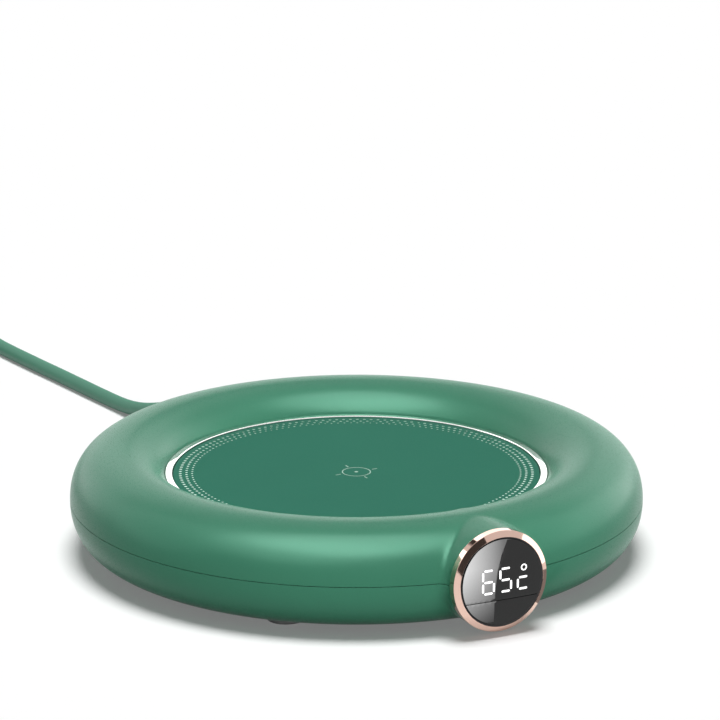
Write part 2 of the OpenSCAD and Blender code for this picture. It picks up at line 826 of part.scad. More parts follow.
// Two wires from the heater, down through a window of the bracket, to their connector
module heater_leads() color(red_wire) {
    z = board_top + plug_in_h / 2;
    for (x = [-wire_d, wire_d])
        swept_tube([[heater_plug_x + x, front_plug_y - plug_in_d / 2 + 0.5, z],
            [heater_plug_x + x, front_plug_y - plug_in_d / 2 - 1.6, z],
            [heater_plug_x + x, drop_y - 0.8, z + 0.8], [heater_plug_x + x, drop_y, z + 2.6],
            [heater_plug_x + x, drop_y, heater_z]], wire_d, 6, [1, 0, 0]);
}

module supply_wires() color(red_wire) {
    z = board_top + plug_in_h / 2;
    x0 = cord_r / 2;
    near = rear_plug_y + plug_in_d / 2;
    for (s = [-1, 1])
        swept_tube([[s * x0, inner_cord_end, mid_z], [s * x0, inner_cord_end - wire_d, mid_z],
            [s * x0, inner_cord_end - 3 * wire_d, mid_z - wire_d],
            [s * wire_d, (inner_cord_end + near) / 2, (mid_z + z) / 2],
            [s * wire_d, near + 3, z + 0.3], [s * wire_d, near - 0.5, z]], wire_d, 6);
}

// Outline of a ribbon that follows a list of points
function ribbon_normal(p, i) =
    let (d = path_dir(p, i)) [-d[1], d[0]];
module ribbon(p, t) {
    n = len(p) - 1;
    polygon(concat([for (i = [0:n]) p[i] + ribbon_normal(p, i) * t / 2],
                   [for (i = [n:-1:0]) p[i] - ribbon_normal(p, i) * t / 2]));
}

module display_cable() color(silicone) {
    z = board_top + plug_in_h / 2;
    start = -front_plug_y + plug_in_d / 2;
    end = display_board_back - header_t;
    run = end - start;
    rotate([90, 0, -90]) translate([0, 0, -ribbon_w / 2]) linear_extrude(ribbon_w)
        ribbon([[start - 0.5, z], [start + ribbon_w, z], [start + run * 0.4, z + 0.5],
            [end - run * 0.3, mid_z - 2], [end - ribbon_w, mid_z], [end, mid_z]], ribbon_t);
}

// ---------------------------------------------------------------- lead inside the body

module strain_relief() color(green) {
    groove_w = 0.8;
    groove_d = 0.5;
    pitch = (boot_tip - boot_shoulder) / (boot_grooves + 1);
    flange_back = flange_front - flange_t;
    difference() {
        union() {
            on_cord_axis(flange_back) cylinder(d = flange_d, h = flange_t);
            on_cord_axis(flange_front) cylinder(r = boot_neck_r, h = boot_shoulder - flange_front);
            on_cord_axis(boot_shoulder)
                cylinder(d1 = boot_d, d2 = boot_end_d, h = boot_tip - boot_shoulder);
        }
        on_cord_axis(flange_back - cut_over)
            cylinder(r = cord_r + thread_gap, h = boot_tip - flange_back + 2 * cut_over);
        for (i = [1:boot_grooves]) {
            r = boot_neck_r - (boot_neck_r - boot_end_d / 2) * i / (boot_grooves + 1);
            on_cord_axis(boot_shoulder + i * pitch - groove_w / 2)
                flat_ring(r - groove_d, boot_d, groove_w);
        }
    }
}

module inner_cord() color(green) {
    on_cord_axis(inner_cord_end) cylinder(r = cord_r, h = boot_tip - inner_cord_end);
}

module clamp_screw_holes() {
    for (x = [-1, 1]) translate([x * clamp_screw_x, clamp_y, floor_z + base_t])
        cylinder(d = small_screw_d + 2 * thread_gap, h = tube_h);
}

module cord_clamp() color(dark_plastic) {
    difference() {
        translate([0, clamp_y, mid_z + clamp_gap / 2])
            block([clamp_w, clamp_d, clamp_t]);
        clamp_groove();
        for (x = [-1, 1]) translate([x * clamp_screw_x, clamp_y, mid_z])
            cylinder(d = small_screw_d + 2 * clear_gap, h = 2 * clamp_t);
    }
}

module clamp_screws() color(steel) {
    for (x = [-1, 1]) translate([x * clamp_screw_x, clamp_y, mid_z + clamp_gap / 2 + clamp_t])
        rotate([180, 0, 0]) screw(small_screw_d, clamp_t + small_head_d, small_head_d, small_head_h);
}

// ---------------------------------------------------------------- free lead and plug

module power_cord() color(green) {
    swept_tube(cord_route, cord_d);
    swept_tube(tail_route, cord_d);
}

// Outline of the bundle of turns, which stands on the ties
module coil_section(grow = 0) {
    corner = 0.6;
    inner = coil_in_r - cord_r - grow;
    outer = coil_out_r + cord_r + grow;
    low = tie_t - grow;
    high = tie_t + cord_d + coil_layer + grow;
    polygon([[inner, low + corner], [inner + corner, low], [outer - corner, low],
        [outer, low + corner], [outer, high - corner], [outer - corner, high],
        [inner + corner, high], [inner, high - corner]]);
}

module cord_coil() color(green) {
    translate([coil_centre[0], coil_centre[1], 0]) rotate_extrude() coil_section();
}

module cord_ties() color(dark_plastic) {
    span = tie_w / (coil_in_r + coil_out_r) * 360 / PI;
    translate([coil_centre[0], coil_centre[1], 0]) for (a = tie_angles) rotate([0, 0, a - span / 2])
        rotate_extrude(angle = span) difference() {
            coil_section(tie_t);
            coil_section();
        }
}

// Children stand at the tail of the plug, with +Z towards its contacts
module on_plug_axis(distance) {
    translate([plug_place[0], plug_place[1] - distance, plug_place[2]])
        rotate([90, 0, 0]) children();
}

// Rounded bar of the grip's outline
module grip_bar(w, t, r, length) {
    linear_extrude(length) hull()
        for (x = [-1, 1], y = [-1, 1]) translate([x * (w / 2 - r), y * (t / 2 - r)]) circle(r = r, $fn = 24);
}

module plug_grip() color(green) {
    nose_l = 2;
    nose_in = 0.8;
    difference() {
        union() {
            on_plug_axis(0) cylinder(d1 = cord_d + 2 * nose_in, d2 = grip_t - 2 * nose_in, h = grip_tail_l);
            on_plug_axis(grip_tail_l) grip_bar(grip_w - 2 * nose_in, grip_t - 2 * nose_in,
                grip_round, nose_l);
            on_plug_axis(grip_tail_l + nose_l) grip_bar(grip_w, grip_t, grip_round, grip_l - nose_l);
        }
        on_plug_axis(grip_tail_l + grip_l - usb_l / 2)
            translate([-usb_w / 2, -usb_h / 2, 0]) cube([usb_w, usb_h, usb_l]);
    }
}

module plug_shell() color(chrome) {
    back = grip_tail_l + grip_l - usb_l / 2;
    latch = 2;
    difference() {
        on_plug_axis(back) translate([-usb_w / 2, -usb_h / 2, 0])
            cube([usb_w, usb_h, usb_l * 1.5]);
        on_plug_axis(back + usb_wall) translate([-usb_w / 2 + usb_wall, -usb_h / 2 + usb_wall, 0])
            cube([usb_w - 2 * usb_wall, usb_h - 2 * usb_wall, usb_l * 1.5]);
        for (x = [-1, 1]) on_plug_axis(back + usb_l)
            translate([x * usb_w / 4 - latch / 2, 0, 0]) cube([latch, usb_h, latch]);
    }
}

// The tongue lies against the lower wall of the plug shell
module plug_tongue() color(white_plastic) {
    back = grip_tail_l + grip_l - usb_l / 2 + usb_wall;
    on_plug_axis(back) translate([-usb_w / 2 + usb_wall, -usb_h / 2 + usb_wall, 0])
        cube([usb_w - 2 * usb_wall, tongue_t, usb_l * 1.5 - 2 * usb_wall]);
}

module plug_contacts() color(brass) {
    contact_w = 1;
    contact_t = 0.15;
    contact_pitch = 2.4;
    back = grip_tail_l + grip_l + usb_l * 0.25;
    for (i = [0:3]) on_plug_axis(back)
        translate([(i - 1.5) * contact_pitch - contact_w / 2, -usb_h / 2 + usb_wall + tongue_t, 0])
            cube([contact_w, contact_t, usb_l * 0.6]);
}

upper_shell();
lower_shell();
trim_ring();
heating_plate();
plate_gasket();
heating_element();
insulation_disc();
heater_bracket();
bracket_screws();
sensor_holder();
temperature_sensor();
thermal_fuse();
control_board();
board_components();
board_connectors();
board_screws();
heater_leads();
supply_wires();
display_cable();
display_board();
digit_display();
light_mask();
display_window();
mode_key();
switch_body();
switch_plunger();
bezel_ring();
housing_screws();
rubber_feet();
strain_relief();
inner_cord();
cord_clamp();
clamp_screws();
power_cord();
cord_coil();
cord_ties();
plug_grip();
plug_shell();
plug_tongue();
plug_contacts();
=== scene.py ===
"""Looks of an electric mug warmer, built over its CAD model.

Each group of pieces, the stage and the aim of its lights have an operator of their own. The
origin is on the table, on the axis of the ring. The pod faces -Y and the lead leaves at +Y.
"""

import json
import math

import bmesh
import bpy
from bpy.props import FloatProperty, FloatVectorProperty, IntProperty, PointerProperty
from mathutils import Matrix, Vector

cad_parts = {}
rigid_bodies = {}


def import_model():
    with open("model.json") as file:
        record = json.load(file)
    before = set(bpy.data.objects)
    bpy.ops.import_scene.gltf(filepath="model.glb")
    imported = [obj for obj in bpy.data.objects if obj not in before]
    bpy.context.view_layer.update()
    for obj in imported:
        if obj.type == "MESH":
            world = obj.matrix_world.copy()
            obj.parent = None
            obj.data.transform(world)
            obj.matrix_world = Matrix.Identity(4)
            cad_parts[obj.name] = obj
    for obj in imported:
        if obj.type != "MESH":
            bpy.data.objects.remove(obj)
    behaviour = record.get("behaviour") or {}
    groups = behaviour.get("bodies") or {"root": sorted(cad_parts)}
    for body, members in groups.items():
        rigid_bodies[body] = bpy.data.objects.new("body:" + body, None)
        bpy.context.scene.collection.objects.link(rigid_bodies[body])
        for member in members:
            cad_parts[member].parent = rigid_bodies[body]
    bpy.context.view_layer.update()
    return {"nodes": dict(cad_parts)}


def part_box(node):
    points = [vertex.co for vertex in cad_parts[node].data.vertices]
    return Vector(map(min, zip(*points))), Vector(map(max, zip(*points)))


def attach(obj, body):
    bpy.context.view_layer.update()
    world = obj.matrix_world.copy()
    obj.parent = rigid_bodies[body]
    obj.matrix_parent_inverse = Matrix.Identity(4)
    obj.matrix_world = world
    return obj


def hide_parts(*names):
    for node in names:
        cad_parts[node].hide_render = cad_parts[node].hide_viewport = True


bl_info = {
    "name": "Electric mug warmer",
    "version": (1, 0, 0),
    "blender": (4, 5, 0),
    "location": "View3D > Sidebar > Mug warmer",
    "description": "Builds the looks of an electric mug warmer over its CAD model",
    "category": "Object",
}

for leftover in list(bpy.data.objects):
    bpy.data.objects.remove(leftover)
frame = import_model()
MM = 0.001

# Low and high corners of the nodes that the sizes below start from
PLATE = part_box("heating_plate")
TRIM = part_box("trim_ring")
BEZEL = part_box("bezel_ring")
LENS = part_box("display_window")
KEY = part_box("mode_key")
CASING_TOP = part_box("upper_shell")

# Half the tube's width, in millimetres
HALF_WIDTH = 12.2
# Steps round the casing, and along the upper and the lower half of its section
TURN_STEPS = 288
TOP_STEPS = 46
BASE_STEPS = 30
# Half the angle of the skin that the barrel replaces, and the rings of faces from there to the
# barrel's root and on to its rim
POD_REACH = math.radians(20)
ROOT_RINGS = 14
BARREL_RINGS = 10
# The parting line: how far its edge turns inwards, and how much it is eased
PARTING_DEPTH = 0.9 * MM
PARTING_EASE = 0.11 * MM

# Rings of dots on the plate, as (radius, radius of a dot), and the centring mark: its dot and ring
# as (inner, outer) radii, and a tick as (distance, length, width), in millimetres
DOT_RINGS = ((43.0, 0.38), (41.5, 0.33), (40.1, 0.25))
MARK_RINGS = ((0, 0.45), (3.3, 3.55))
MARK_TICK = (5, 1.4, 0.28)
PRINT_RISE = 0.02 * MM

# Places along the pod, as distances from the ring's axis
BEZEL_BACK = 71.38 * MM
LENS_EDGE = -LENS[0].y - 0.3 * MM
LENS_SEAT = LENS_EDGE - 1.7 * MM
# The lens's radius and dome, and the bezel's opening round it, hole behind it and spigot
LENS_RADIUS = 10.6 * MM
LENS_DOME = 0.27 * MM
OPENING = LENS_RADIUS + 0.38 * MM
BEZEL_BORE = 9.85 * MM
SPIGOT = 10.65 * MM
# The seam between the window and the key: its distance below the middle, and its width
SEAM_DROP = 4.4 * MM
SEAM = 0.14 * MM
# The key's stem and its foot, as (half the width, lowest, highest) from the pod's middle, in
# millimetres
KEY_STEM = (3, -8.1, -5.9)
KEY_FOOT = (3.5, -8.6, -5.4)

# Places on the free lead, from the strain relief to the coil and from the coil to the plug, in
# millimetres
LEAD_OUT = [
    (0, 75.5, 13.7), (0, 77.5, 13.7), (0, 82, 13.5), (-0.3, 88, 12.5), (-0.7, 96, 10.3),
    (-1.1, 104, 7.5), (-1.7, 112, 4.9), (-2.3, 120, 3), (-3, 128, 2.1), (-4, 138, 1.9),
    (-5, 148, 1.9), (-6.2, 160, 1.9), (-7.4, 171, 1.9), (-8.5, 182, 1.9), (-9.3, 192, 1.9),
    (-9.4, 201, 2), (-9, 210, 2.2), (-8.6, 218, 2.4),
]
LEAD_TO_PLUG = [
    (-56.4, 249.6, 6.3), (-62.6, 245.8, 6), (-68.2, 240.6, 5), (-72.8, 234, 4),
    (-75.8, 226.5, 3), (-77.2, 218.5, 2.4), (-77, 210, 2), (-75.4, 202, 1.9),
    (-72.6, 194, 1.9), (-70.6, 186.5, 2.2), (-69.7, 179, 2.9), (-69.5, 171, 3.7),
    (-69.5, 165, 3.9), (-69.5, 163, 3.9),
]
COIL_CENTRE = (-40.5, 222)
# Degrees between places on the coil
COIL_STEP = 8

# Places of a figure's segments, as (across, up, upright) in halves of its width and quarters of
# its height, and the lit segments of each figure with its middle on the lens, in millimetres
SEGMENTS = {
    "a": (0, 2, False), "b": (1, 1, True), "c": (1, -1, True), "d": (0, -2, False),
    "e": (-1, -1, True), "f": (-1, 1, True), "g": (0, 0, False),
}
FIGURES = (("acdefg", -3.66), ("acdfg", 0.91), ("deg", 5.6))
FIGURES_UP = 0.47
# The degree ring after them: its inner and outer radius, and its middle on the lens
DEGREE_RADII = (0.5, 0.82)
DEGREE_AT = (5.8, 2.83)


def length(name, description, default):
    """A length in millimetres, kept in metres."""
    return FloatProperty(
        name=name, description=description, default=default * MM, min=0, unit="LENGTH", precision=5
    )


def tint(name, description, default):
    """A colour of a finish."""
    return FloatVectorProperty(
        name=name, description=description, default=default, size=3, min=0, max=1, subtype="COLOR"
    )


class WarmerSizes(bpy.types.PropertyGroup):
    """Sizes of the casing, the plate and the display pod"""

    half_width: length("Tube half width", "Half the tube's width, measured radially", HALF_WIDTH)
    half_height: length("Tube half height", "Half the tube's height", 12.5)
    power: FloatProperty(
        name="Tube squareness", description="Exponent of its section", default=2.2, min=2, max=3
    )
    ring_radius: length("Ring radius", "Radius of the tube's middle line",
                        CASING_TOP[1].x / MM - HALF_WIDTH)
    middle: length("Middle height", "Height of the parting line above the table", 13.7)
    base: length("Base height", "Height of the flat base above the table", 1.5)
    well: length("Well radius", "Radius of the rim round the plate", 46.9)
    parting: length("Parting gap", "Gap between the two halves of the casing", 0.16)
    barrel: length("Barrel radius", "Radius of the barrel behind the bezel", 12.3)
    flare: length("Barrel flare", "How much wider the barrel is at its root", 0.5)
    bore: length("Barrel bore", "Radius of the hole in the barrel", 10.7)
    fillet: length("Fillet", "Size of the blend between the barrel and the tube", 1.7)
    dots: IntProperty(name="Dots", description="Dots in each ring of the plate", default=156, min=3)
    figure_height: length("Figure height", "Height between the outer segments of a figure", 5.62)
    figure_width: length("Figure width", "Width between the outer segments of a figure", 2.86)
    segment: length("Segment", "Length of a lit segment", 2.2)
    stroke: length("Stroke", "Width of a lit segment", 0.54)


class WarmerLead(bpy.types.PropertyGroup):
    """Sizes of the free lead and its coil"""

    diameter: length("Diameter", "Diameter of the lead", 3.8)
    outer: length("Outer turn", "Radius of the coil's outermost turn", 28)
    inner: length("Inner turn", "Radius of the coil's innermost turn", 16)
    pitch: length("Pitch", "Distance between turns that lie side by side", 4)


class WarmerColours(bpy.types.PropertyGroup):
    """Colours of the finishes"""

    casing: tint("Casing", "Matte green of the casing", (0.0545, 0.229, 0.141))
    sheen: tint("Sheen", "Tint of the casing's reflections", (0.55, 1.0, 0.8))
    plate: tint("Plate", "Darker green of the heating plate", (0.034, 0.172, 0.116))
    dots: tint("Dots", "Bright metal of the dots round the plate", (0.36, 0.52, 0.44))
    print: tint("Print", "Pale print on the plate", (0.42, 0.62, 0.52))
    bezel: tint("Bezel", "Rose gold of the bezel", (0.79, 0.545, 0.455))
    lead: tint("Lead", "Green of the lead's jacket", (0.085, 0.275, 0.185))


def sizes():
    return bpy.context.scene.warmer_sizes


def colours():
    return bpy.context.scene.warmer_colours


# ---- materials

# Features in each metre of the cloudiness of plastics and of the smears on metal
CLOUD_SCALE = 60
SMEAR_SCALE = 400


def new_surface(name, colour, roughness, metallic=0.0, **sockets):
    """A Principled material and its shader node."""
    material = bpy.data.materials.new(name)
    material.use_nodes = True
    shader = material.node_tree.nodes["Principled BSDF"]
    shader.inputs["Base Color"].default_value = (*colour, 1)
    shader.inputs["Roughness"].default_value = roughness
    shader.inputs["Metallic"].default_value = metallic
    for socket, value in sockets.items():
        shader.inputs[socket.replace("_", " ")].default_value = value
    return material, shader


def noise(material, scale, detail=2.0, stretch=(1, 1, 1)):
    """Noise on object coordinates, at a number of features in each metre."""
    nodes, links = material.node_tree.nodes, material.node_tree.links
    place = nodes.new("ShaderNodeTexCoord")
    turn = nodes.new("ShaderNodeMapping")
    turn.inputs["Scale"].default_value = stretch
    texture = nodes.new("ShaderNodeTexNoise")
    texture.inputs["Scale"].default_value = scale
    texture.inputs["Detail"].default_value = detail
    links.new(place.outputs["Object"], turn.inputs["Vector"])
    links.new(turn.outputs["Vector"], texture.inputs["Vector"])
    return texture.outputs["Fac"]


def remap(tree, value, low, high, to_low, to_high):
    """Maps one range of a value onto another."""
    node = tree.nodes.new("ShaderNodeMapRange")
    for socket, number in (("From Min", low), ("From Max", high), ("To Min", to_low),
                           ("To Max", to_high)):
        node.inputs[socket].default_value = number
    tree.links.new(value, node.inputs["Value"])
    return node.outputs["Result"]


def combine(tree, operation, first, second):
    """One value from two, such as the larger one or the product."""
    node = tree.nodes.new("ShaderNodeMath")
    node.operation = operation
    tree.links.new(first, node.inputs[0])
    tree.links.new(second, node.inputs[1])
    return node.outputs["Value"]


def vary_roughness(material, shader, factor, low, high):
    """Maps the middle of a noise onto a range of roughness."""
    rough = remap(material.node_tree, factor, 0.3, 0.7, low, high)
    material.node_tree.links.new(rough, shader.inputs["Roughness"])


def vary_colour(material, shader, factor, colour, amount):
    """Lightens and darkens a colour by a small share."""
    node = material.node_tree.nodes.new("ShaderNodeMix")
    node.data_type = "RGBA"
    node.inputs[6].default_value = (*[c * (1 - amount) for c in colour], 1)
    node.inputs[7].default_value = (*[min(1, c * (1 + amount)) for c in colour], 1)
    material.node_tree.links.new(factor, node.inputs[0])
    material.node_tree.links.new(node.outputs[2], shader.inputs["Base Color"])


def raise_grain(material, shader, factor, height, strength=1.0):
    """Bump from a factor, with a height in metres."""
    node = material.node_tree.nodes.new("ShaderNodeBump")
    node.inputs["Strength"].default_value = strength
    node.inputs["Distance"].default_value = height
    material.node_tree.links.new(factor, node.inputs["Height"])
    material.node_tree.links.new(node.outputs["Normal"], shader.inputs["Normal"])


def moulded(name, colour, roughness=0.5, grain=5000, height=0.00001, amount=0.04, **sockets):
    """Moulded plastic or rubber: a fine spark-eroded grain, and slight cloudiness."""
    material, shader = new_surface(name, colour, roughness, **sockets)
    vary_colour(material, shader, noise(material, CLOUD_SCALE), colour, amount)
    fine = noise(material, grain, 1.0)
    vary_roughness(material, shader, fine, roughness - 0.05, roughness + 0.06)
    raise_grain(material, shader, fine, height)
    return material


def metal(name, colour, roughness, amount=0.03, stretch=(1, 1, 1)):
    """Plated or bare metal with faint smears."""
    material, shader = new_surface(name, colour, roughness, 1.0)
    smear = noise(material, SMEAR_SCALE, 3.0, stretch)
    vary_colour(material, shader, smear, colour, amount)
    vary_roughness(material, shader, smear, roughness * 0.7, roughness * 1.5)
    raise_grain(material, shader, smear, 0.000002, 0.3)
    return material


def glowing(name, colour, strength):
    """A lit segment: a pale diffuser with light of its own."""
    material, shader = new_surface(name, (0.8, 0.8, 0.8), 0.4)
    shader.inputs["Emission Color"].default_value = (*colour, 1)
    shader.inputs["Emission Strength"].default_value = strength
    vary_roughness(material, shader, noise(material, 2000), 0.35, 0.45)
    return material


def make_finishes():
    """Every finish, by the name that the pieces ask for."""
    hue = colours()
    return {
        "casing": moulded("soft_touch_green", hue.casing, 0.3, 5200, 0.000006, 0.03,
                          Specular_IOR_Level=0.15, Specular_Tint=(*hue.sheen, 1)),
        "plate": moulded("plate_coating", hue.plate, 0.4, 7000, 0.000003, 0.03,
                         Specular_IOR_Level=0.03),
        "dots": metal("bright_dots", hue.dots, 0.3),
        "print": moulded("plate_print", hue.print, 0.5, 6000, 0.000002, 0.05),
        "chrome": metal("polished_chrome", (0.9, 0.9, 0.88), 0.06),
        "bezel": metal("rose_gold_plating", hue.bezel, 0.06),
        "lens": moulded("smoked_lens", (0.004, 0.004, 0.0045), 0.05, 900, 0.0000002, 0.1,
                        IOR=1.45),
        "figures": glowing("lit_figures", (1.0, 1.0, 1.0), 1.05),
        "rubber": moulded("foot_rubber", (0.36, 0.36, 0.36), 0.7, 4200, 0.00002, 0.15),
        "lead": moulded("lead_jacket", hue.lead, 0.5, 3800, 0.000012, 0.05),
        "dark": moulded("dark_polymer", (0.022, 0.022, 0.024), 0.5, 4800, 0.00001, 0.1),
        "white": moulded("white_polymer", (0.78, 0.78, 0.75), 0.42, 4800, 0.000006, 0.03),
        "steel": metal("zinc_steel", (0.56, 0.58, 0.6), 0.28, 0.08),
        "usb": metal("nickel_shell", (0.74, 0.74, 0.73), 0.2, 0.04, (1, 8, 1)),
        "gold": metal("contact_gold", (0.83, 0.6, 0.24), 0.18, 0.05),
        "board": moulded("solder_mask", (0.012, 0.11, 0.04), 0.3, 3000, 0.000008, 0.2),
        "film": moulded("heater_film", (0.45, 0.17, 0.02), 0.3, 1500, 0.000006, 0.15),
        "felt": moulded("needled_felt", (0.6, 0.54, 0.43), 0.9, 2600, 0.0001, 0.2),
        "silicone": moulded("silicone", (0.3, 0.31, 0.3), 0.6, 3600, 0.000008, 0.05),
        "wire": moulded("wire_insulation", (0.42, 0.03, 0.02), 0.4, 3600, 0.000006, 0.08),
    }


FINISHES = {}


def finish(name):
    """A finish, made with all the others the first time that one is asked for."""
    if not FINISHES:
        FINISHES.update(make_finishes())
    return FINISHES[name]


# ---- shaping


def ease(share):
    return share * share * (3 - 2 * share)


def lathe(profile, steps, closed=False):
    """A bmesh of (radius, height) points spun about Z."""
    bm = bmesh.new()
    verts = [bm.verts.new((radius, 0, height)) for radius, height in profile]
    pairs = list(zip(verts, verts[1:]))
    if closed:
        pairs.append((verts[-1], verts[0]))
    edges = [bm.edges.new(pair) for pair in pairs]
    bmesh.ops.spin(bm, geom=verts + edges, cent=(0, 0, 0), axis=(0, 0, 1), angle=math.tau,
                   steps=steps, use_merge=True, use_duplicate=False)
    bmesh.ops.remove_doubles(bm, verts=bm.verts, dist=1e-7)
    return bm


def round_corners(profile, radius, closed=False, pieces=4):
    """Replaces each corner of a profile by a short arc, with a close point on either side.

    The close points keep the broad faces flat under smooth shading.
    """
    count = len(profile)
    rounded = []
    for i, corner in enumerate(profile):
        if not closed and i in (0, count - 1):
            rounded.append(corner)
            continue
        here = Vector(corner)
        before, after = Vector(profile[i - 1]) - here, Vector(profile[(i + 1) % count]) - here
        reach = min(radius, before.length * 0.35, after.length * 0.35)
        before, after = before.normalized() * reach, after.normalized() * reach
        rounded.append(tuple(here + before * 1.3))
        for k in range(pieces + 1):
            t = k / pieces
            rounded.append(tuple(here + before * (1 - t) ** 2 + after * t ** 2))
        rounded.append(tuple(here + after * 1.3))
    return rounded


def pod_axis():
    """Turns +Z of a lathed piece outwards along the pod."""
    return Matrix.Translation((0, 0, sizes().middle)) @ Matrix.Rotation(math.pi / 2, 4, "X")


def mesh_of(bm, name):
    """Makes a bmesh into a mesh."""
    mesh = bpy.data.meshes.new(name)
    bm.to_mesh(mesh)
    bm.free()
    return mesh


def put(name, data):
    """A new object in the scene."""
    made = bpy.data.objects.new(name, data)
    bpy.context.scene.collection.objects.link(made)
    return made


def add_piece(bm, name, body, look, stands_for=(), sharp=32, facing=None):
    """Makes a bmesh into a piece that rides on a body. A flat print faces one way."""
    if facing:
        bm.normal_update()
        wrong = [face for face in bm.faces if face.normal.dot(Vector(facing)) < 0]
        bmesh.ops.reverse_faces(bm, faces=wrong)
    else:
        bmesh.ops.recalc_face_normals(bm, faces=bm.faces)
    mesh = mesh_of(bm, name)
    mesh.shade_smooth()
    mesh.set_sharp_from_angle(angle=math.radians(sharp))
    piece = put(name, mesh)
    mesh.materials.append(finish(look))
    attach(piece, body)
    if stands_for:
        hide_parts(*stands_for)
    return piece


def join(bm, other):
    """Adds a second bmesh to the first."""
    mesh = mesh_of(other, "joining")
    bm.from_mesh(mesh)
    bpy.data.meshes.remove(mesh)


def extrude(bm, edges):
    """Extrudes edges, and gives the new vertices."""
    made = bmesh.ops.extrude_edge_only(bm, edges=edges)["geom"]
    return {item for item in made if isinstance(item, bmesh.types.BMVert)}


def ease_edges(bm, edges, size):
    """Rounds edges a little."""
    bmesh.ops.bevel(bm, geom=edges, offset=size, offset_type="OFFSET", segments=2, profile=0.5,
                    affect="EDGES", clamp_overlap=True, material=-1)


# ---- casing


def tube_point(angle):
    """Point of the tube section, as (radius, height)."""
    size = sizes()
    across, up = math.cos(angle), math.sin(angle)
    power = 2 / size.power
    return (size.ring_radius + size.half_width * math.copysign(abs(across) ** power, across),
            size.middle + size.half_height * math.copysign(abs(up) ** power, up))


def tube_angle_at_height(height):
    """Angle at which the tube's outer flank has a height above or below its middle."""
    size = sizes()
    return math.copysign(math.asin((abs(height) / size.half_height) ** (size.power / 2)), height)


def tube_distance(place):
    """Distance of a place from the tube's skin, negative inside it."""
    size = sizes()
    across = abs(math.hypot(place.x, place.y) - size.ring_radius) / size.half_width
    up = abs(place.z - size.middle) / size.half_height
    gauge = (across ** size.power + up ** size.power) ** (1 / size.power)
    return (gauge - 1) * (size.half_width + size.half_height) / 2


def blend_distance(place):
    """Distance from the tube and the barrel together, with a fillet between them."""
    size = sizes()
    out = max(math.hypot(place.x, place.z - size.middle), 1e-9)
    side = (place.x / out) ** (2 if place.z > size.middle else 6)
    root = min(1, max(0, (BEZEL_BACK + place.y) / (3 * MM)))
    tube, barrel = tube_distance(place), out - size.barrel - size.flare * side * ease(root)
    reach = size.fillet * (0.1 + 0.9 * side)
    lift = max(reach - abs(tube - barrel), 0) / reach
    return min(tube, barrel) - lift * lift * reach / 4


def slope_at(place):
    """The way outwards from the blended skin at a place, steeper where the skin is further off."""
    here, step = blend_distance(place), 2e-6
    return Vector([(blend_distance(place + step * Vector(axis)) - here) / step
                   for axis in ((1, 0, 0), (0, 1, 0), (0, 0, 1))])


def settle(place, level):
    """Moves a place onto the blended skin. A level one keeps its height."""
    place = Vector(place)
    for _ in range(8):
        slope = slope_at(place)
        if level:
            slope.z = 0
        place -= slope * (blend_distance(place) / max(slope.length_squared, 1e-9))
    return place


def walk(edges):
    """The vertices along a chain of edges, from its end at -X."""
    links = {}
    for edge in edges:
        for vert in edge.verts:
            links.setdefault(vert, []).append(edge)
    ends = [vert for vert, joined in links.items() if len(joined) == 1]
    vert = min(ends, key=lambda end: end.co.x)
    chain, used = [vert], set()
    while True:
        onward = [edge for edge in links[vert] if edge not in used]
        if not onward:
            return chain
        used.add(onward[0])
        vert = onward[0].other_vert(vert)
        chain.append(vert)


def pull_edge(bm, chain, places):
    """Extrudes a chain of vertices and puts the new ones at their places."""
    fresh = extrude(bm, [bm.edges.get(pair) for pair in zip(chain, chain[1:])])
    onward = [next(edge.other_vert(vert) for edge in vert.link_edges
                   if edge.other_vert(vert) in fresh) for vert in chain]
    for vert, place in zip(onward, places):
        vert.co = place
    return onward


def barrel_places(chain, side):
    """Where each vertex of a chain lands on the barrel's root, and on its rim.

    The chain's two sides take an eighth of the barrel each.
    """
    size = sizes()
    flank = sum(1 for v in chain[1:] if abs(math.atan2(v.co.x, -v.co.y) + POD_REACH) < 1e-4)
    last = len(chain) - 1
    roots, rims = [], []
    for k in range(last + 1):
        if k <= flank:
            turn = math.pi / 4 * k / flank
        elif k >= last - flank:
            turn = math.pi - math.pi / 4 * (last - k) / flank
        else:
            turn = math.pi / 4 + math.pi / 2 * (k - flank) / (last - 2 * flank)
        x = -size.barrel * math.cos(turn)
        up = side * size.barrel * math.sin(turn)
        if k in (0, last):
            up = size.parting / 2 * side
        out = size.ring_radius + size.half_width * (
            1 - min(1, abs(up) / size.half_height) ** size.power) ** (1 / size.power)
        roots.append(Vector((x, -math.sqrt(out * out - x * x), size.middle + up)))
        rims.append(Vector((x, -BEZEL_BACK, size.middle + up)))
    return roots, rims


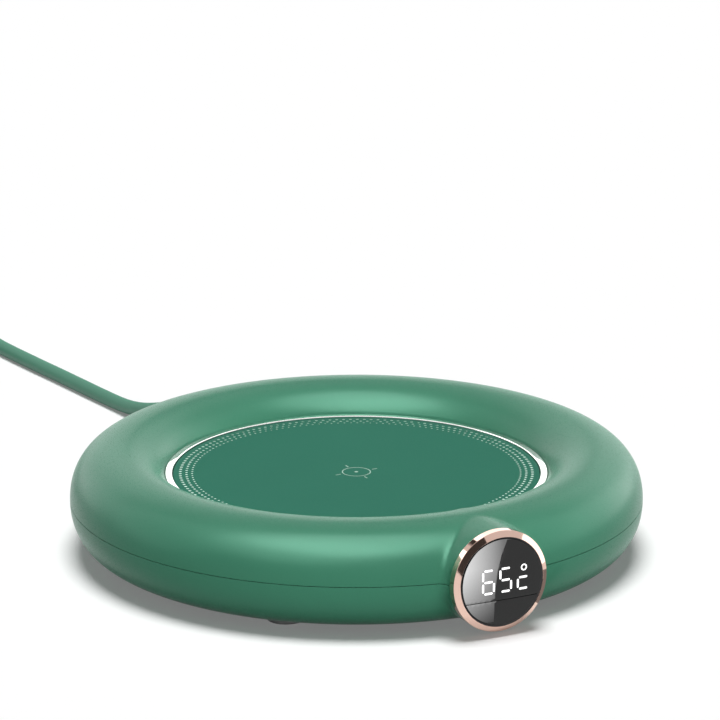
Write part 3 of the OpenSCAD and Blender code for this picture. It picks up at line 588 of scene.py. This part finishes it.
def grow_barrel(bm, side, skin_faces):
    """Replaces the skin at the pod by one that runs on into its barrel.

    side is 1 for the upper half of the casing and -1 for the lower half.
    """
    size = sizes()
    border = [edge for edge in bm.edges
              if len(edge.link_faces) == 2 and sum(f in skin_faces for f in edge.link_faces) == 1]
    bmesh.ops.delete(bm, geom=list(skin_faces), context="FACES")
    chain = walk(border)
    starts = [vert.co.copy() for vert in chain]
    roots, rims = barrel_places(chain, side)
    ends = (0, len(chain) - 1)
    for ring in range(1, ROOT_RINGS + BARREL_RINGS + 1):
        places = []
        for k, (start, root, rim) in enumerate(zip(starts, roots, rims)):
            if ring <= ROOT_RINGS:
                place = start.lerp(root, 1 - (1 - ring / ROOT_RINGS) ** 1.5)
            else:
                place = root.lerp(rim, ((ring - ROOT_RINGS) / BARREL_RINGS) ** 1.3)
            if ring < ROOT_RINGS + BARREL_RINGS:
                place = settle(place, k in ends)
                place.y = max(place.y, -BEZEL_BACK)
            places.append(place)
        chain = pull_edge(bm, chain, places)
    for depth in (BEZEL_BACK, BEZEL_BACK - 4 * MM):
        places = []
        for vert in chain:
            flat = Vector((vert.co.x, 0, vert.co.z - size.middle))
            flat *= size.bore / flat.length
            places.append(Vector((flat.x, -depth, size.middle + flat.z)))
        chain = pull_edge(bm, chain, places)


def close_parting(bm, side):
    """Turns the edge at the parting line inwards and eases it."""
    size = sizes()
    height = size.middle + side * size.parting / 2
    edges = [edge for edge in bm.edges if len(edge.link_faces) == 1
             and all(abs(v.co.z - height) < 2e-7 for v in edge.verts)]
    turned = {v: slope_at(v.co) * Vector((1, 1, 0)) for e in edges for v in e.verts}
    fresh = extrude(bm, edges)
    for vert, out in turned.items():
        for edge in vert.link_edges:
            other = edge.other_vert(vert)
            if other in fresh:
                other.co = vert.co - out.normalized() * PARTING_DEPTH
    ease_edges(bm, edges, PARTING_EASE)


def pod_skin(bm, side, limit):
    """Faces of the tube's skin near the pod, up to an angle round its section."""
    size = sizes()
    chosen = set()
    for face in bm.faces:
        middle = face.calc_center_median()
        across = (math.hypot(middle.x, middle.y) - size.ring_radius) / size.half_width
        up = side * (middle.z - size.middle) / size.half_height
        near = abs(math.atan2(middle.x, -middle.y)) < POD_REACH
        if near and math.atan2(up, across) < limit:
            chosen.add(face)
    return chosen


class WARMER_OT_casing(bpy.types.Operator):
    """Build both halves of the casing, with the barrel that grows out of them"""

    bl_idname = "warmer.casing"
    bl_label = "Casing"

    def execute(self, context):
        size = sizes()
        start = tube_angle_at_height(size.parting / 2)
        rim = math.pi - math.acos(
            ((size.ring_radius - size.well) / size.half_width) ** (size.power / 2))
        arc = [tube_point(start + (rim - start) * i / TOP_STEPS) for i in range(TOP_STEPS + 1)]
        arc[0] = (arc[0][0], size.middle + size.parting / 2)
        bm = lathe(arc + [(size.well, arc[-1][1] - 2.4 * MM)], TURN_STEPS)
        grow_barrel(bm, 1, pod_skin(bm, 1, math.radians(112)))
        close_parting(bm, 1)
        add_piece(bm, "casing_top", "base", "casing", ["upper_shell"])

        low = tube_angle_at_height(size.base - size.middle)
        arc = [tube_point(-start + (low + start) * i / BASE_STEPS) for i in range(BASE_STEPS + 1)]
        arc[0] = (arc[0][0], size.middle - size.parting / 2)
        arc[-1] = (arc[-1][0], size.base)
        skin_end = arc[-1][0]
        edge = round_corners([arc[-2], arc[-1], (0, size.base)], 0.5 * MM)
        bm = lathe(arc[:-1] + edge[1:], TURN_STEPS)
        skin = {face for face in pod_skin(bm, -1, math.radians(179))
                if max(v.co.z for v in face.verts) > size.base + 1e-6
                and math.hypot(*face.calc_center_median().xy) > skin_end + 0.5 * MM}
        grow_barrel(bm, -1, skin)
        close_parting(bm, -1)
        add_piece(bm, "casing_base", "base", "casing", ["lower_shell"])
        return {"FINISHED"}


class WARMER_OT_underside(bpy.types.Operator):
    """Finish the feet and the screws above them"""

    bl_idname = "warmer.underside"
    bl_label = "Underside"

    def execute(self, context):
        dress({"rubber_feet": "rubber", "housing_screws": "steel"})
        return {"FINISHED"}


# ---- plate


class WARMER_OT_plate(bpy.types.Operator):
    """Build the heating plate, its printed dots and centring mark, and the trim ring"""

    bl_idname = "warmer.plate"
    bl_label = "Heating plate"

    def execute(self, context):
        top, under = PLATE[1].z, PLATE[1].z - 1.6 * MM
        radius = PLATE[1].x
        profile = round_corners([(0, top), (radius, top), (radius, under), (0, under)], 0.25 * MM)
        add_piece(lathe(profile, 192), "plate_disc", "base", "plate",
                  ["heating_plate"])

        dots, marks = bmesh.new(), bmesh.new()
        level = top + PRINT_RISE
        for ring, (distance, dot) in enumerate(DOT_RINGS):
            for i in range(sizes().dots):
                turn = math.tau * (i + 0.5 * (ring % 2)) / sizes().dots
                place = Matrix.Rotation(turn, 4, "Z") @ Matrix.Translation(
                    (distance * MM, 0, level))
                bmesh.ops.create_circle(dots, cap_ends=True, radius=dot * MM, segments=12,
                                        matrix=place)
        add_piece(dots, "plate_dots", "base", "dots", facing=(0, 0, 1))
        for inner, outer in MARK_RINGS:
            join(marks, lathe([(inner * MM, level), (outer * MM, level)], 64))
        distance, run, width = MARK_TICK
        for turn in range(4):
            tick = Matrix.Rotation(turn * math.pi / 2, 4, "Z") @ Matrix.Translation(
                (distance * MM, 0, level)) @ Matrix.Diagonal((run * MM, width * MM, 1, 1))
            bmesh.ops.create_grid(marks, x_segments=1, y_segments=1, size=0.5, matrix=tick)
        add_piece(marks, "plate_print", "base", "print", facing=(0, 0, 1))

        inner, outer = PLATE[1].x + 0.15 * MM, TRIM[1].x
        low, high = TRIM[0].z, TRIM[1].z
        profile = [(inner, low), (outer, low), (outer, high - 0.15 * MM), (outer - 0.15 * MM, high),
                   (inner + 0.15 * MM, high), (inner, high - 0.15 * MM)]
        add_piece(lathe(round_corners(profile, 0.1 * MM, True, 3), 256, True), "trim_band", "base",
                  "chrome", ["trim_ring"])
        dress({"plate_gasket": "silicone"})
        return {"FINISHED"}


# ---- pod


def lens_height(x, up):
    """Distance of the lens's face from the ring's axis."""
    return LENS_EDGE + LENS_DOME * (1 - (x * x + up * up) / LENS_RADIUS ** 2)


def lens_disc(back):
    """A domed disc with an eased rim, along the pod."""
    radii = [LENS_RADIUS * (1 - i / 10) for i in range(11)]
    dome = [(radius, lens_height(radius, 0)) for radius in radii]
    rim = round_corners([(0, back), (LENS_RADIUS, back), dome[0], dome[1]], 0.2 * MM)
    bm = lathe(rim + dome[2:], 128)
    bm.transform(pod_axis())
    return bm


def cut_at(bm, height, side):
    """Keeps the part of a closed shape above or below a height, closed and eased."""
    cut = bmesh.ops.bisect_plane(bm, geom=bm.verts[:] + bm.edges[:] + bm.faces[:], dist=1e-8,
                                 plane_co=(0, 0, height), plane_no=(0, 0, -side), clear_outer=True)
    edges = [item for item in cut["geom_cut"] if isinstance(item, bmesh.types.BMEdge)]
    bmesh.ops.holes_fill(bm, edges=[e for e in bm.edges if len(e.link_faces) == 1], sides=0)
    edges = [e for e in edges if e.is_valid and len(e.link_faces) == 2
             and min(v.co.y for v in e.verts) < -LENS_EDGE + 0.1 * MM]
    ease_edges(bm, edges, 0.04 * MM)


def block(bm, low, high):
    """Adds a box between two corners."""
    low, high = Vector(low), Vector(high)
    place = Matrix.Translation((low + high) / 2) @ Matrix.Diagonal((*(high - low), 1))
    bmesh.ops.create_cube(bm, size=1, matrix=place)


def stroke(bm, x, up, run, width, upright):
    """Adds one lit segment with round ends, flat in X and Z."""
    made = bmesh.ops.create_circle(bm, cap_ends=True, radius=width / 2, segments=16)["verts"]
    for vert in made:
        along, side = vert.co.x, vert.co.y
        along += math.copysign((run - width) / 2, along) if abs(along) > 1e-9 else 0
        vert.co = (x + (side if upright else along), 0, up + (along if upright else side))


class WARMER_OT_pod(bpy.types.Operator):
    """Build the bezel, the domed lens with its push key, and the lit figures"""

    bl_idname = "warmer.pod"
    bl_label = "Display pod"

    def execute(self, context):
        size = sizes()
        bezel = BEZEL[1].x
        back, front = BEZEL_BACK, -BEZEL[0].y
        profile = [(BEZEL_BORE, back - 5 * MM), (SPIGOT, back - 5 * MM), (SPIGOT, back),
                   (bezel, back), (bezel, front - 0.85 * MM), (OPENING, front),
                   (OPENING, LENS_SEAT), (BEZEL_BORE, LENS_SEAT)]
        bm = lathe(round_corners(profile, 0.07 * MM, True, 3), 192, True)
        bm.transform(pod_axis())
        add_piece(bm, "bezel_band", "base", "bezel", ["bezel_ring"], 20)

        # Painted shade: a dark ring fills the gap between the lens and the bezel's opening, where
        # the bore lies in shade
        inside = LENS_RADIUS + 0.03 * MM
        gap_shade = [(inside, LENS_SEAT), (OPENING, LENS_SEAT), (OPENING, front - 0.2 * MM),
                (inside, front - 0.3 * MM)]
        bm = lathe(gap_shade, 128, True)
        bm.transform(pod_axis())
        add_piece(bm, "lens_seal", "base", "dark")

        seam = size.middle - SEAM_DROP
        bm = lens_disc(LENS_SEAT)
        cut_at(bm, seam + SEAM / 2, 1)
        add_piece(bm, "lens_window", "base", "lens", ["display_window"], 25)

        bm = lens_disc(LENS_EDGE - 1.05 * MM)
        cut_at(bm, seam - SEAM / 2, -1)
        middle, end = size.middle, KEY[1].y
        for (half, low, high), y in ((KEY_STEM, -LENS_EDGE + 0.5 * MM), (KEY_FOOT, end - 0.6 * MM)):
            block(bm, (-half * MM, y, middle + low * MM), (half * MM, end, middle + high * MM))
        add_piece(bm, "lens_key", "key", "lens", ["mode_key"], 25)

        bm = bmesh.new()
        for lit, middle in FIGURES:
            for name in lit:
                right, high, upright = SEGMENTS[name]
                stroke(bm, middle * MM + right * size.figure_width / 2,
                       FIGURES_UP * MM + high * size.figure_height / 4,
                       size.segment, size.stroke, upright)
        ring = lathe([(radius * MM, 0) for radius in DEGREE_RADII], 32)
        across, up = DEGREE_AT
        ring.transform(Matrix.Translation((across * MM, 0, up * MM))
                       @ Matrix.Rotation(math.pi / 2, 4, "X"))
        join(bm, ring)
        bmesh.ops.triangulate(bm, faces=bm.faces)
        for vert in bm.verts:
            vert.co.y = -lens_height(vert.co.x, vert.co.z) - 0.015 * MM
            vert.co.z += size.middle
        add_piece(bm, "lit_figures", "base", "figures", facing=(0, -1, 0))
        dress({"light_mask": "dark", "digit_display": "white", "display_board": "board",
               "switch_body": "dark", "switch_plunger": "white"})
        return {"FINISHED"}


# ---- inside


def dress(looks):
    """Gives CAD nodes their finishes."""
    for node, look in looks.items():
        mesh = frame["nodes"][node].data
        mesh.materials.clear()
        mesh.materials.append(finish(look))


class WARMER_OT_inside(bpy.types.Operator):
    """Finish the heater stack, the electronics and the lead's anchorage"""

    bl_idname = "warmer.inside"
    bl_label = "Inside"

    def execute(self, context):
        dress({
            "heating_element": "film", "insulation_disc": "felt", "heater_bracket": "steel",
            "bracket_screws": "steel", "sensor_holder": "silicone", "temperature_sensor": "dark",
            "thermal_fuse": "white", "control_board": "board", "board_components": "dark",
            "board_connectors": "white", "board_screws": "steel", "heater_leads": "wire",
            "supply_wires": "wire", "display_cable": "silicone", "cord_clamp": "dark",
            "clamp_screws": "steel", "inner_cord": "lead",
        })
        return {"FINISHED"}


# ---- lead


def coil_places(lead):
    """Places on the coil: a layer wound inwards on the table and one wound outwards on top."""
    centre = Vector((*COIL_CENTRE, 0)) * MM
    arrive = Vector(LEAD_OUT[-1]) * MM - centre
    leave = Vector(LEAD_TO_PLUG[0]) * MM - centre
    low, high = arrive.z, leave.z
    start = math.degrees(math.atan2(arrive.y, arrive.x))
    end = math.degrees(math.atan2(leave.y, leave.x)) + 6 * 360
    wind = start + 90
    rise = wind + 360 * (lead.outer - lead.inner) / lead.pitch
    unwind = rise + 90
    part = end - 90
    widest = lead.inner + lead.pitch * (part - unwind) / 360
    places = []
    angle = start + COIL_STEP
    while angle < end - 5:
        height = low
        if angle < wind:
            radius = arrive.xy.length + (lead.outer - arrive.xy.length) * ease((angle - start) / 90)
        elif angle < rise:
            radius = lead.outer - lead.pitch * (angle - wind) / 360
        elif angle < unwind:
            radius = lead.inner
            height = low + (high - low) * ease((angle - rise) / 90)
        elif angle < part:
            radius = lead.inner + lead.pitch * (angle - unwind) / 360
            height = high
        else:
            radius = widest + (leave.xy.length - widest) * ease((angle - part) / 90)
            height = high
        turn = math.radians(angle)
        places.append(centre + Vector((radius * math.cos(turn), radius * math.sin(turn), height)))
        angle += COIL_STEP
    return places


def smooth_line(places, steps):
    """A smooth curve through places."""
    line = []
    for i in range(len(places) - 1):
        a, b, c, d = (places[max(i - 1, 0)], places[i], places[i + 1],
                      places[min(i + 2, len(places) - 1)])
        for k in range(steps):
            t = k / steps
            line.append(0.5 * (2 * b + (c - a) * t + (2 * a - 5 * b + 4 * c - d) * t ** 2
                               + (3 * b - a - 3 * c + d) * t ** 3))
    return line + [places[-1]]


class WARMER_OT_lead(bpy.types.Operator):
    """Lay the lead from its strain relief through the coil to the plug"""

    bl_idname = "warmer.lead"
    bl_label = "Lead and plug"

    def execute(self, context):
        lead = context.scene.warmer_lead
        places = [Vector(p) * MM for p in LEAD_OUT] + coil_places(lead)
        line = smooth_line(places + [Vector(p) * MM for p in LEAD_TO_PLUG], 3)
        curve = bpy.data.curves.new("power_lead", "CURVE")
        curve.dimensions = "3D"
        spline = curve.splines.new("POLY")
        spline.points.add(len(line) - 1)
        for point, place in zip(spline.points, line):
            point.co = (*place, 1)
        spline.use_smooth = True
        curve.bevel_depth = lead.diameter / 2
        curve.bevel_resolution = 5
        curve.use_fill_caps = True
        curve.materials.append(finish("lead"))
        piece = put("power_lead", curve)
        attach(piece, "base")
        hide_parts("power_cord", "cord_coil")
        dress({"strain_relief": "lead", "cord_ties": "dark", "plug_grip": "casing",
               "plug_shell": "usb", "plug_tongue": "white", "plug_contacts": "gold"})
        return {"FINISHED"}


# ---- stage


# Where the camera stands and looks, and its focal length in millimetres
CAMERA_PLACE = (-0.65457, -1.26469, 0.47696)
CAMERA_LOOK = (0.44066, 0.85011, -0.28832)
CAMERA_LENS = 306.09

# Soft lamps, as (name, direction round Z, height above the horizon, width, strength), with angles
# in degrees: the first ones light the surfaces, and the others are what the matte casing mirrors
LAMPS = (
    ("lamp_key", -120, 60, 30, 1.02),
    ("lamp_front", -90, 30, 60, 1.6),
    ("lamp_right", 30, 30, 60, 1.6),
    ("lamp_back", 90, 30, 60, 1.6),
)
SHINES = (
    ("shine_top", -120, 72, 60, 9.9),
    ("shine_crown", -144, 52, 60, 4.64),
    ("shine_front", -30, 30, 60, 1.6),
    ("shine_side", 0, 8, 60, 1.17),
    ("shine_right", 30, 8, 60, 1),
    ("shine_back", 90, 8, 60, 1.06),
    ("shine_left", 150, 30, 60, 1.58),
)
# The lamp that lights the floor, the same way
FLOOR_LAMP = ("lamp_floor", 0, 90, 30, math.pi)
# Cards that only bright metal reflects, as (name, directions round Z, heights above the
# horizon, distance from the pod in metres, brightness)
CARDS = (
    ("card_back", (40, 95), (6, 45), 0.3, 1.7),
    ("card_edge", (105, 140), (-8, 27), 0.3, 2.6),
    ("card_right", (-34, -2), (-8, 25), 0.1, 1.5),
)
# Dark flags that stand before the bright backdrop in all reflections, the same way
FLAGS = (
    ("flag_near", (-132, -90), (-16, 50), 0.05, 0.055),
    ("flag_right", (-8, 15), (-38, -6), 0.024, 0.25),
)
# The middle of the cards and flags
POD_FACE = Vector((0, -74 * MM, 14 * MM))
# How bright the backdrop is in reflections, and where it is darker there, as (direction, height,
# half its width, brightness)
BACKDROP_SHINE = 0.8
DARK_SPOTS = ((65, 10, 26, 0.05), (97, 31, 5, 0.05))
# Sheet in front of the lens: its left edge, and its right edge as (X, height), in millimetres
SHEEN_LEFT = -7.5
SHEEN_RIGHT = ((8.6, 26), (6, 21.8), (4.1, 17.7), (3, 13.7), (2.5, 9.7), (2.3, 5.5), (2.4, 0))
SHEEN_Y = -82.4
# How it fades, as (axis, from, to, brightness at each), across and then upwards
SHEEN_FADES = (("X", -6.5, 5, 22, 5), ("Z", 0, 15, 0.2, 1))
# How much light the floor gives back, how white it looks and how much it is lifted
FLOOR_BOUNCE = 0.45
FLOOR_WHITE = 0.82
FLOOR_LIFT = 0.18


def show(tree, lighting, seen, output):
    """Lights the scene by one shader, and shows another to the camera and in reflections."""
    paths = tree.nodes.new("ShaderNodeLightPath").outputs
    unlit = combine(tree, "MAXIMUM", paths["Is Camera Ray"], paths["Is Glossy Ray"])
    unlit = combine(tree, "MAXIMUM", unlit, paths["Is Transmission Ray"])
    pick = tree.nodes.new("ShaderNodeMixShader")
    tree.links.new(unlit, pick.inputs["Fac"])
    tree.links.new(lighting, pick.inputs[1])
    tree.links.new(seen, pick.inputs[2])
    tree.links.new(pick.outputs["Shader"], tree.nodes[output].inputs["Surface"])


def backdrop_strength(tree):
    """1 for the camera, and for reflections darker towards the spots."""
    place = tree.nodes.new("ShaderNodeTexCoord").outputs["Generated"]
    strength = None
    for turn, height, width, bright in DARK_SPOTS:
        along = tree.nodes.new("ShaderNodeVectorMath")
        along.operation = "DOT_PRODUCT"
        along.inputs[1].default_value = towards(turn, height)
        tree.links.new(place, along.inputs[0])
        edge = [math.cos(math.radians(width + soft)) for soft in (2, -2)]
        spot = remap(tree, along.outputs["Value"], *edge, BACKDROP_SHINE, bright)
        strength = combine(tree, "MINIMUM", strength, spot) if strength else spot
    paths = tree.nodes.new("ShaderNodeLightPath").outputs
    return combine(tree, "MAXIMUM", strength, paths["Is Camera Ray"])


def towards(turn, height):
    """Unit vector of a direction round Z and a height above the horizon, in degrees."""
    turn, height = math.radians(turn), math.radians(height)
    return Vector((math.cos(turn) * math.cos(height), math.sin(turn) * math.cos(height),
                   math.sin(height)))


def add_sun(name, turn, height, width, strength):
    """A lamp far off in a direction."""
    lamp = bpy.data.lights.new(name, "SUN")
    lamp.angle = math.radians(width)
    lamp.energy = strength
    holder = put(name, lamp)
    holder.rotation_mode = "QUATERNION"
    holder.rotation_quaternion = towards(turn, height).to_track_quat("Z", "Y")
    holder.location = towards(turn, height)
    return holder


def reflected_only(bm, name, solid=False):
    """Makes a bmesh into a glowing stage piece that only reflections show, clear or solid."""
    card = put(name, mesh_of(bm, name))
    card.visible_camera = card.visible_diffuse = card.visible_shadow = False
    material = bpy.data.materials.new(name)
    material.use_nodes = True
    tree = material.node_tree
    tree.nodes.remove(tree.nodes["Principled BSDF"])
    glow = tree.nodes.new("ShaderNodeEmission")
    surface = glow.outputs["Emission"]
    if not solid:
        both = tree.nodes.new("ShaderNodeAddShader")
        clear = tree.nodes.new("ShaderNodeBsdfTransparent")
        tree.links.new(surface, both.inputs[0])
        tree.links.new(clear.outputs["BSDF"], both.inputs[1])
        surface = both.outputs["Shader"]
    tree.links.new(surface, tree.nodes["Material Output"].inputs["Surface"])
    card.data.materials.append(material)
    return tree, glow


def shine_on(source, pieces, state="INCLUDE"):
    """Limits a light or card to some pieces, or keeps it off them."""
    group = bpy.data.collections.new(source)
    for piece in pieces:
        group.objects.link(bpy.data.objects[piece])
    for link in group.collection_objects:
        link.light_linking.link_state = state
    bpy.data.objects[source].light_linking.receiver_collection = group


def add_card(name, turns, heights, distance, strength, solid=False):
    """A bright or dark sheet round the pod."""
    bm = bmesh.new()
    bmesh.ops.create_grid(bm, x_segments=12, y_segments=8, size=0.5)
    for vert in bm.verts:
        turn = turns[0] + (turns[1] - turns[0]) * (vert.co.x + 0.5)
        height = heights[0] + (heights[1] - heights[0]) * (vert.co.y + 0.5)
        vert.co = POD_FACE + towards(turn, height) * distance
    reflected_only(bm, name, solid)[1].inputs["Strength"].default_value = strength


def add_sheen():
    """The sheet that the lens mirrors, brightest at its upper left."""
    bm = bmesh.new()
    corners = [(SHEEN_LEFT, SHEEN_RIGHT[0][1]), *SHEEN_RIGHT, (SHEEN_LEFT, SHEEN_RIGHT[-1][1])]
    verts = [bm.verts.new((x * MM, SHEEN_Y * MM, z * MM)) for x, z in corners]
    bm.faces.new(verts)
    tree, glow = reflected_only(bm, "sheen", True)
    place = tree.nodes.new("ShaderNodeTexCoord")
    parts = tree.nodes.new("ShaderNodeSeparateXYZ")
    tree.links.new(place.outputs["Object"], parts.inputs["Vector"])
    fades = [remap(tree, parts.outputs[axis], low * MM, high * MM, first, last)
             for axis, low, high, first, last in SHEEN_FADES]
    tree.links.new(combine(tree, "MULTIPLY", *fades), glow.inputs["Strength"])


def add_camera():
    camera = bpy.data.cameras.new("camera")
    camera.lens, camera.sensor_width = CAMERA_LENS, 36
    camera.clip_start, camera.clip_end = 0.05, 20
    holder = put("camera", camera)
    holder.location = CAMERA_PLACE
    holder.rotation_mode = "QUATERNION"
    holder.rotation_quaternion = Vector(CAMERA_LOOK).to_track_quat("-Z", "Y")
    bpy.context.scene.camera = holder


def add_floor():
    """A white floor that gives back less light than it shows, just under the feet."""
    bm = bmesh.new()
    bmesh.ops.create_grid(bm, x_segments=8, y_segments=8, size=4)
    floor = put("floor", mesh_of(bm, "floor"))
    floor.location.z = -0.00002
    material, shader = new_surface("white_floor", (FLOOR_BOUNCE,) * 3, 0.9, Specular_IOR_Level=0.0)
    tree = material.node_tree
    bright = tree.nodes.new("ShaderNodeBsdfDiffuse")
    bright.inputs["Color"].default_value = (*(FLOOR_WHITE,) * 3, 1)
    glow = tree.nodes.new("ShaderNodeEmission")
    glow.inputs["Strength"].default_value = FLOOR_LIFT
    total = tree.nodes.new("ShaderNodeAddShader")
    tree.links.new(bright.outputs["BSDF"], total.inputs[0])
    tree.links.new(glow.outputs["Emission"], total.inputs[1])
    show(tree, shader.outputs["BSDF"], total.outputs["Shader"], "Material Output")
    floor.data.materials.append(material)


def add_backdrop():
    """A world that gives no light, and looks white."""
    scene = bpy.context.scene
    world = scene.world or bpy.data.worlds.new("world")
    scene.world = world
    world.use_nodes = True
    tree = world.node_tree
    dark = tree.nodes["Background"]
    dark.inputs["Strength"].default_value = 0
    white = tree.nodes.new("ShaderNodeBackground")
    white.inputs["Color"].default_value = (1, 1, 1, 1)
    tree.links.new(backdrop_strength(tree), white.inputs["Strength"])
    show(tree, dark.outputs["Background"], white.outputs["Background"], "World Output")


class WARMER_OT_stage(bpy.types.Operator):
    """Set up the camera, the floor, the lamps and the world"""

    bl_idname = "warmer.stage"
    bl_label = "Stage"

    def execute(self, context):
        context.scene.view_settings.view_transform = "Standard"
        add_camera()
        add_floor()
        add_backdrop()
        for lamp in LAMPS:
            add_sun(*lamp).visible_glossy = False
        for lamp in SHINES:
            add_sun(*lamp).visible_diffuse = False
        add_sun(*FLOOR_LAMP)
        for card in CARDS:
            add_card(*card)
        for flag in FLAGS:
            add_card(*flag, True)
        add_sheen()
        return {"FINISHED"}


class WARMER_OT_aim(bpy.types.Operator):
    """Keep each light and card to the pieces it is meant for"""

    bl_idname = "warmer.aim"
    bl_label = "Aim the lights"

    def execute(self, context):
        lens = ("lens_window", "lens_key")
        casing = ("casing_top", "casing_base", "plug_grip")
        polished = ("bezel_band", "trim_band", "plug_shell") + lens
        for card in CARDS:
            shine_on(card[0], ("bezel_band", "trim_band", "plate_dots"))
        shine_on("sheen", lens)
        for lamp in LAMPS:
            shine_on(lamp[0], (*polished, "floor"), "EXCLUDE")
        for lamp in SHINES:
            shine_on(lamp[0], casing)
        shine_on(FLOOR_LAMP[0], ["floor"])
        return {"FINISHED"}


# ---- add-on


STEPS = (WARMER_OT_stage, WARMER_OT_lead, WARMER_OT_casing, WARMER_OT_underside, WARMER_OT_plate,
         WARMER_OT_pod, WARMER_OT_inside, WARMER_OT_aim)


class WARMER_PT_panel(bpy.types.Panel):
    """Lists the sizes, the colours and the building steps"""

    bl_label = "Mug warmer"
    bl_idname = "WARMER_PT_panel"
    bl_space_type = "VIEW_3D"
    bl_region_type = "UI"
    bl_category = "Mug warmer"

    def draw(self, context):
        for group in (context.scene.warmer_sizes, context.scene.warmer_lead,
                      context.scene.warmer_colours):
            column = self.layout.column()
            for name in group.__annotations__:
                column.prop(group, name)
        for step in STEPS:
            self.layout.operator(step.bl_idname)


CLASSES = (WarmerSizes, WarmerLead, WarmerColours, *STEPS, WARMER_PT_panel)


def register():
    for cls in CLASSES:
        bpy.utils.register_class(cls)
    bpy.types.Scene.warmer_sizes = PointerProperty(type=WarmerSizes)
    bpy.types.Scene.warmer_lead = PointerProperty(type=WarmerLead)
    bpy.types.Scene.warmer_colours = PointerProperty(type=WarmerColours)


def unregister():
    del bpy.types.Scene.warmer_sizes
    del bpy.types.Scene.warmer_lead
    del bpy.types.Scene.warmer_colours
    for cls in reversed(CLASSES):
        bpy.utils.unregister_class(cls)


def main():
    register()
    for step in STEPS:
        group, name = step.bl_idname.split(".")
        getattr(getattr(bpy.ops, group), name)()


if __name__ == "__main__":
    main()
